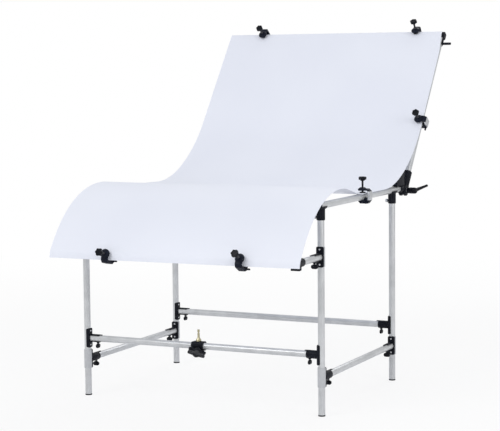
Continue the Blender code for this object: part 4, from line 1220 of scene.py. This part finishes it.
def add_pivots():
    made = []
    base = [(pivot_base(), black)]
    yoke = [(pivot_yoke(), black)]
    lever = pivot_lever()
    for side, sign in SIDES.items():
        x = sign * LEG_X
        flip = MIRROR_X if sign < 0 else Matrix.Identity(4)
        handed = [(placed(mesh, flip), material) for mesh, material in lever]
        hinge = at(x, HINGE.y, HINGE.z)
        shapes = (
            ("pivot_base", base, hinge, "root", "connector_black"),
            ("pivot_yoke", yoke, BACK @ at(x), "backrest", "connector_black"),
            ("pivot_lever", handed, hinge, f"lever_{side}", "knob_black"),
        )
        for kind, parts, place, body, slot in shapes:
            made.append(piece(f"{kind}_{side}", parts, place, body, slot))
    return made


told(add_pivots())

# %% [markdown]
# Six clamps hold the sheet. The jaw hooks behind the tube and over the sheet's edge, and a screw
# through its domed head presses a pad on the sheet. A real thread is a helix, but at this size
# a stack of ridges looks the same and needs far fewer faces.

# %% Sheet clamps
CLAMP_WIDTH = 0.026
CLAMP_CORNER = 0.0025
CLAMP_EDGE = 0.0011
CLAMP_HEAD_LIP = 0.0012
CHANNEL_EDGE = 0.0002
CLAMP_LIP = 0.014
CLAMP_SPINE = 0.009
CLAMP_EDGE_ROOM = 0.0045
CLAMP_JAW_DEPTH = 0.013
CLAMP_OPENING = 0.0235
CLAMP_ARM = 0.0075
CLAMP_HEAD_RADIUS = 0.018
CLAMP_CROWN = 0.0125
CLAMP_SHOULDER = 0.009
CLAMP_HEEL = 0.012
CLAMP_TOE = 0.006
CLAMP_TAIL_LENGTH = 0.012
CLAMP_TAIL_HEIGHT = 0.007
CLAMP_CHANNEL_DEPTH = 0.0075
CLAMP_CHANNEL_WALL = 0.0009
CLAMP_CHANNEL_INSET = 0.001
PAD_RADIUS = 0.0115
PAD_THICKNESS = 0.004
SCREW_RADIUS = 0.004
SCREW_SHOWING = 0.028
KNOB_RADIUS = 0.015
KNOB_THICKNESS = 0.012
KNOB_LOBES = 6
KNOB_LOBE_DEPTH = 0.0025
KNOB_EDGE = 0.0025
KNOB_COLLAR_RADIUS = 0.009
KNOB_COLLAR_END_RADIUS = 0.0075
KNOB_COLLAR_LENGTH = 0.004
KNOB_COLLAR_OVERLAP = 0.001
PAD_CHAMFER = 0.001
SPINDLE_OVERLAP = 0.001
FRONT_CLAMPS = (-0.53, 0.58)
FRONT_RIGHT_CLAMP_RAISED = radians(15)
TOP_CLAMPS = (-0.698, 0.771)
RAIL_CLAMP_BEHIND_LEGS = 0.407
POST_CLAMP_HEIGHT = 0.3345


def clamp_jaw(tail_side, channelled):
    """Parts of a jaw in its own axes: the tube along X, the spine at +Y, the screw along +Z."""
    spine_inner = SHEET_EDGE_PAST_SEAT + CLAMP_EDGE_ROOM
    spine_outer = spine_inner + CLAMP_SPINE
    bottom = -TUBE_RADIUS - CLAMP_JAW_DEPTH
    arm_top = CLAMP_OPENING + CLAMP_ARM
    seat = arc(BORE, 215, 345, 12)
    spine_side = [
        (spine_inner, seat[-1].y), (spine_inner, CLAMP_OPENING), (0, CLAMP_OPENING), (0, arm_top),
        (spine_inner, arm_top), (spine_outer, arm_top - CLAMP_SHOULDER), (spine_outer, bottom + CLAMP_HEEL),
        (spine_inner, bottom), (-CLAMP_TOE, bottom), (-CLAMP_LIP, bottom + CLAMP_SHOULDER),
        (-CLAMP_LIP, seat[0].y - GAP * 4),
    ]
    outline = rounded(seat + spine_side, CLAMP_CORNER)
    jaw = placed(drawn(outline, -CLAMP_WIDTH / 2, CLAMP_WIDTH / 2, CLAMP_EDGE), OUTLINE_YZ)
    head = turned([
        (CLAMP_HEAD_RADIUS * 0.6, CLAMP_OPENING - GAP), (CLAMP_HEAD_RADIUS, CLAMP_OPENING - GAP),
        (CLAMP_HEAD_RADIUS, CLAMP_OPENING + CLAMP_ARM * 0.6),
        (CLAMP_HEAD_RADIUS * 0.8, arm_top + CLAMP_HEAD_LIP),
        (CLAMP_HEAD_RADIUS * 0.45, CLAMP_OPENING + CLAMP_CROWN), (0.001, CLAMP_OPENING + CLAMP_CROWN),
    ], HEAD_EDGE)
    tail = box(
        sorted((tail_side * CLAMP_WIDTH / 4, tail_side * (CLAMP_WIDTH / 2 + CLAMP_TAIL_LENGTH))),
        (spine_inner - CLAMP_TOE, spine_inner - GAP), (bottom + GAP, bottom + CLAMP_TAIL_HEIGHT), PLATE_EDGE,
    )
    hole = rod(SCREW_RADIUS + GAP, TUBE_RADIUS, CLAMP_OPENING + CLAMP_CROWN * 2)
    parts = [(combined(jaw, [head, tail], [hole]), clamp_black)]
    if channelled:
        inner = CLAMP_WIDTH / 2 - GAP
        outer = inner + CLAMP_CHANNEL_WALL
        mouth = spine_outer - CLAMP_CHANNEL_DEPTH
        channel_outline = mirrored([
            (outer, spine_outer + CLAMP_CHANNEL_WALL), (outer, mouth), (inner, mouth),
            (inner, spine_outer - GAP),
        ])
        low = bottom + CLAMP_HEEL + CLAMP_CHANNEL_INSET
        high = arm_top - CLAMP_SHOULDER - CLAMP_CHANNEL_INSET
        parts.append((drawn(channel_outline, low, high, CHANNEL_EDGE), steel))
    return parts


def clamp_screw():
    """Parts of a clamp's screw: the knob, the threaded spindle and the pad."""
    pad_low = SHEET_FACE + GAP
    pad_top = pad_low + PAD_THICKNESS
    knob_low = CLAMP_OPENING + CLAMP_CROWN + SCREW_SHOWING
    knob = lobed(KNOB_RADIUS, KNOB_LOBES, KNOB_LOBE_DEPTH, knob_low, knob_low + KNOB_THICKNESS, KNOB_EDGE)
    collar_low, collar_top = knob_low - KNOB_COLLAR_LENGTH, knob_low + KNOB_COLLAR_OVERLAP
    collar = turned([
        (SCREW_RADIUS, collar_low), (KNOB_COLLAR_END_RADIUS, collar_low),
        (KNOB_COLLAR_RADIUS, collar_top), (SCREW_RADIUS, collar_top),
    ], EDGE)
    pad = turned([
        (SCREW_RADIUS * 0.5, pad_low), (PAD_RADIUS, pad_low), (PAD_RADIUS, pad_top - PAD_CHAMFER),
        (PAD_RADIUS * 0.7, pad_top), (SCREW_RADIUS * 0.5, pad_top),
    ], SMALL_EDGE)
    spindle = thread(SCREW_RADIUS, pad_top - SPINDLE_OVERLAP, knob_low)
    return [(knob, knob_black), (collar, knob_black), (spindle, spindle_steel), (pad, rubber)]


def clamp_places():
    """Each clamp's place, its tail's side, whether its spine has a metal channel, and its body."""
    spine_right = Matrix(((0, 1, 0, 0), (-1, 0, 0, 0), (0, 0, 1, 0), (0, 0, 0, 1)))
    spine_down = ALONG_FRONT @ HALF_TURN
    raised = Matrix.Rotation(-FRONT_RIGHT_CLAMP_RAISED, 4, "X")
    front_left, front_right = [at(share * LEG_X, FRONT_TUBE_Y, ARM_Z) @ HANGING for share in FRONT_CLAMPS]
    top_left, top_right = [BACK @ at(share * LEG_X, 0, BACK_LENGTH) for share in TOP_CLAMPS]
    on_rail = at(LEG_X, FRONT_LEG_Y + RAIL_CLAMP_BEHIND_LEGS, RAIL_Z) @ spine_right
    on_post = BACK @ at(LEG_X, 0, POST_CLAMP_HEIGHT) @ ALONG_FRONT @ spine_right
    return {
        "front_left": (front_left @ spine_down, -1, False, "root"),
        "front_right": (front_right @ raised @ spine_down, -1, False, "root"),
        "rail_right": (on_rail, 1, True, "root"),
        "post_right": (on_post, 1, True, "backrest"),
        "top_left": (top_left @ ALONG_FRONT, 1, False, "backrest"),
        "top_right": (top_right @ WRAPPED @ ALONG_FRONT, 1, False, "backrest"),
    }


def add_clamps():
    made = []
    screw = clamp_screw()
    for where, (place, tail_side, channelled, body) in clamp_places().items():
        jaw = clamp_jaw(tail_side, channelled)
        made.append(piece(f"clamp_jaw_{where}", jaw, place, body, "clamp_black"))
        made.append(piece(f"clamp_screw_{where}", screw, place, f"screw_{where}", "knob_black"))
    return made


told(add_clamps())

# %% [markdown]
# The light holder is a block bored for the front cross bar, with a brass spigot on top for a lamp
# and a star knob below that tightens it. The star's lobes come from one cosine wave round the
# rim, raised to a power below one, which widens the lobes and narrows the valleys.

# %% Light holder
HOLDER_X = -0.008
HOLDER_HALF_LENGTH = 0.0235
HOLDER_HALF_WIDTH = 0.020
HOLDER_TOP = 0.0165
HOLDER_BOTTOM = 0.018
HOLDER_CORNER = 0.006
HOLDER_LOW_CORNER = 0.012
HOLDER_TAB_LENGTH = 0.009
HOLDER_TAB_HALF_WIDTH = 0.006
HOLDER_TAB_Z = (0.002, 0.0115)
HOLDER_KNOB_TILT = radians(38)
HOLDER_BOSS_RADIUS = 0.010
HOLDER_BOSS_END = 0.0205
HOLDER_PAD_RADIUS = 0.007
HOLDER_PAD_THICKNESS = 0.002
HOLDER_PAD_TRAVEL = 0.002
HOLDER_KNOB_RADIUS = 0.038
HOLDER_KNOB_THICKNESS = 0.011
HOLDER_KNOB_ROOM = 0.0025
HOLDER_KNOB_LOBES = 6
HOLDER_KNOB_LOBE_DEPTH = 0.011
SPIGOT_BASE_RADIUS = 0.010
SPIGOT_BASE_HEIGHT = 0.006
SPIGOT_CONE_HEIGHT = 0.015
SPIGOT_PIN_RADIUS = 0.0045
SPIGOT_HEIGHT = 0.045
SPIGOT_GROOVE_RADIUS = SPIGOT_PIN_RADIUS * 0.72
SPIGOT_GROOVE = (0.030, 0.036)
SPIGOT_GROOVE_SLOPE = 0.0015


def holder_body(downward):
    wide = HOLDER_HALF_WIDTH
    section = [
        (-wide + HOLDER_LOW_CORNER, -HOLDER_BOTTOM), (wide - HOLDER_CORNER, -HOLDER_BOTTOM),
        (wide, -HOLDER_BOTTOM + HOLDER_CORNER), (wide, HOLDER_TOP - HOLDER_CORNER),
        (wide - HOLDER_CORNER, HOLDER_TOP), (-wide + HOLDER_CORNER, HOLDER_TOP),
        (-wide, HOLDER_TOP - HOLDER_CORNER), (-wide, -HOLDER_BOTTOM + HOLDER_LOW_CORNER),
    ]
    section = rounded(section, 0.004)
    casting = placed(drawn(section, -HOLDER_HALF_LENGTH, HOLDER_HALF_LENGTH, 0.0014), OUTLINE_YZ)
    tab = box(
        (HOLDER_HALF_LENGTH - 0.003, HOLDER_HALF_LENGTH + HOLDER_TAB_LENGTH),
        (-HOLDER_TAB_HALF_WIDTH, HOLDER_TAB_HALF_WIDTH), HOLDER_TAB_Z, 0.0012,
    )
    boss = placed(rod(HOLDER_BOSS_RADIUS, TUBE_RADIUS, HOLDER_BOSS_END, 0.0008), downward)
    bar_bore = placed(rod(BORE, -FAR, FAR), ALONG_X)
    pocket_top = BORE + HOLDER_PAD_THICKNESS + HOLDER_PAD_TRAVEL + GAP
    pocket = placed(rod(HOLDER_PAD_RADIUS + GAP, 0, pocket_top), downward)
    screw_hole = placed(rod(SCREW_RADIUS + GAP, 0, HOLDER_BOSS_END * 2), downward)
    return combined(casting, [boss, tab], [bar_bore, pocket, screw_hole])


def add_light_holder():
    downward = Matrix.Rotation(pi - HOLDER_KNOB_TILT, 4, "X")
    place = at(HOLDER_X, FRONT_LEG_Y, CROSS_BAR_Z)
    knob_low = HOLDER_BOSS_END + HOLDER_KNOB_ROOM
    star = lobed(
        HOLDER_KNOB_RADIUS, HOLDER_KNOB_LOBES, HOLDER_KNOB_LOBE_DEPTH,
        knob_low, knob_low + HOLDER_KNOB_THICKNESS, 0.003, sharpness=0.8,
    )
    pad_top = BORE + HOLDER_PAD_THICKNESS
    screw = thread(SCREW_RADIUS, pad_top + GAP, knob_low + 0.003)
    pad = turned([
        (0.002, BORE), (HOLDER_PAD_RADIUS, BORE), (HOLDER_PAD_RADIUS, pad_top), (0.002, pad_top),
    ], 0.0005)
    groove_low, groove_high = SPIGOT_GROOVE
    spigot = turned([
        (SPIGOT_BASE_RADIUS * 0.5, 0), (SPIGOT_BASE_RADIUS, 0), (SPIGOT_BASE_RADIUS, SPIGOT_BASE_HEIGHT),
        (SPIGOT_PIN_RADIUS, SPIGOT_CONE_HEIGHT), (SPIGOT_PIN_RADIUS, groove_low),
        (SPIGOT_GROOVE_RADIUS, groove_low + SPIGOT_GROOVE_SLOPE),
        (SPIGOT_GROOVE_RADIUS, groove_high - SPIGOT_GROOVE_SLOPE), (SPIGOT_PIN_RADIUS, groove_high),
        (SPIGOT_PIN_RADIUS, SPIGOT_HEIGHT), (SPIGOT_PIN_RADIUS * 0.4, SPIGOT_HEIGHT),
    ], 0.0009)
    turned_down = place @ downward
    on_top = place @ at(0, 0, HOLDER_TOP + GAP)
    rows = (
        ("light_holder_body", [(holder_body(downward), black)], place, "root", "connector_black"),
        ("light_holder_pad", [(pad, rubber)], turned_down, "holder_pad", "pad_rubber"),
        ("light_holder_knob", [(star, knob_black), (screw, steel)], turned_down, "holder_knob", "knob_black"),
        ("light_holder_spigot", [(spigot, brass)], on_top, "root", "spigot_brass"),
    )
    return [piece(*row) for row in rows]


told(add_light_holder())

# %% [markdown]
# The studio is a pale floor that reaches far behind the table, with a white surround and three
# large soft lamps. The floor keeps the soft shadow under the feet and fades to white with
# distance, so no line shows where it ends. None of this belongs to the table.

# %% Studio
FLOOR_HALF = 14.0
FLOOR_FADES = (1.2, 4.5)
FLOOR_GLOW = 0.82
SURROUND_COLOR = (0.98, 0.99, 1.0, 1)
SURROUND_LIGHT = 0.63
WHITE = (1, 1, 1, 1)


def camera_rays(tree):
    return tree.nodes.new("ShaderNodeLightPath").outputs["Is Camera Ray"]


def show_mixed(tree, share, first, second, output):
    """Leads two shaders, mixed by a share, to the tree's output."""
    mix = tree.nodes.new("ShaderNodeMixShader")
    for slot, socket in enumerate((share, first, second)):
        tree.links.new(socket, mix.inputs[slot])
    tree.links.new(mix.outputs[0], tree.nodes[output].inputs["Surface"])


def floor_material():
    made, shader, where = finish("Studio floor")
    clouds = where.noise(0.02)
    drive(shader, clouds.between((0.86, 0.86, 0.87), (0.88, 0.88, 0.89)), 0.85 + clouds * 0.1)
    tree = made.node_tree
    white = tree.nodes.new("ShaderNodeEmission")
    white.inputs["Color"].default_value = WHITE
    distance = where.node("VectorMath", {0: where}, output=1, operation="LENGTH")
    seen = Flow(tree, camera_rays(tree))
    fade = (FLOOR_GLOW + distance.ramp(*FLOOR_FADES) * (1 - FLOOR_GLOW)) * seen
    show_mixed(tree, fade.socket, shader.outputs[0], white.outputs[0], "Material Output")
    return made


def add_floor():
    mesh = bpy.data.meshes.new("studio_floor")
    corners = [(x, y, 0) for x, y in rectangle(FLOOR_HALF, FLOOR_HALF)]
    mesh.from_pydata(corners, [], [(0, 1, 2, 3)])
    mesh.materials.append(floor_material())
    floor = bpy.data.objects.new("studio_floor", mesh)
    scene.collection.objects.link(floor)
    floor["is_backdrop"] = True


def add_surround():
    world = bpy.data.worlds.new("Studio surround")
    scene.world = world
    world.use_nodes = True
    tree = world.node_tree
    light = tree.nodes["Background"]
    light.inputs["Color"].default_value = SURROUND_COLOR
    light.inputs["Strength"].default_value = SURROUND_LIGHT
    white = tree.nodes.new("ShaderNodeBackground")
    white.inputs["Color"].default_value = WHITE
    show_mixed(tree, camera_rays(tree), light.outputs[0], white.outputs[0], "World Output")


def add_lamp(name, place, aim, power, width):
    lamp = bpy.data.lights.new(name, "AREA")
    lamp.energy = power
    lamp.size = width
    made = bpy.data.objects.new(name, lamp)
    scene.collection.objects.link(made)
    made.matrix_world = Matrix.Translation(place) @ pointing(Vector(aim) - Vector(place), "-Z")


add_floor()
add_surround()
add_lamp("lamp over the front", (-2.6, -6.4, 6.2), (0, -0.2, 0.6), 200, 3.5)
add_lamp("lamp on the right", (6.0, -2.6, 3.2), (0, 0, 0.6), 90, 3.0)
add_lamp("lamp above the back", (0.4, 4.6, 5.2), (0, 0.2, 0.9), 90, 3.0)

# %% [markdown]
# The last cell prints the box of the finished table and the box of the imported model, both as
# plain lists, so any growth shows as a number.

# %% Both boxes
visual_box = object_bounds()
boxes = {"cad": [list(corner) for corner in cad_box], "visual": [list(corner) for corner in visual_box]}
print("CAD box", boxes["cad"])
print("visual box", boxes["visual"])
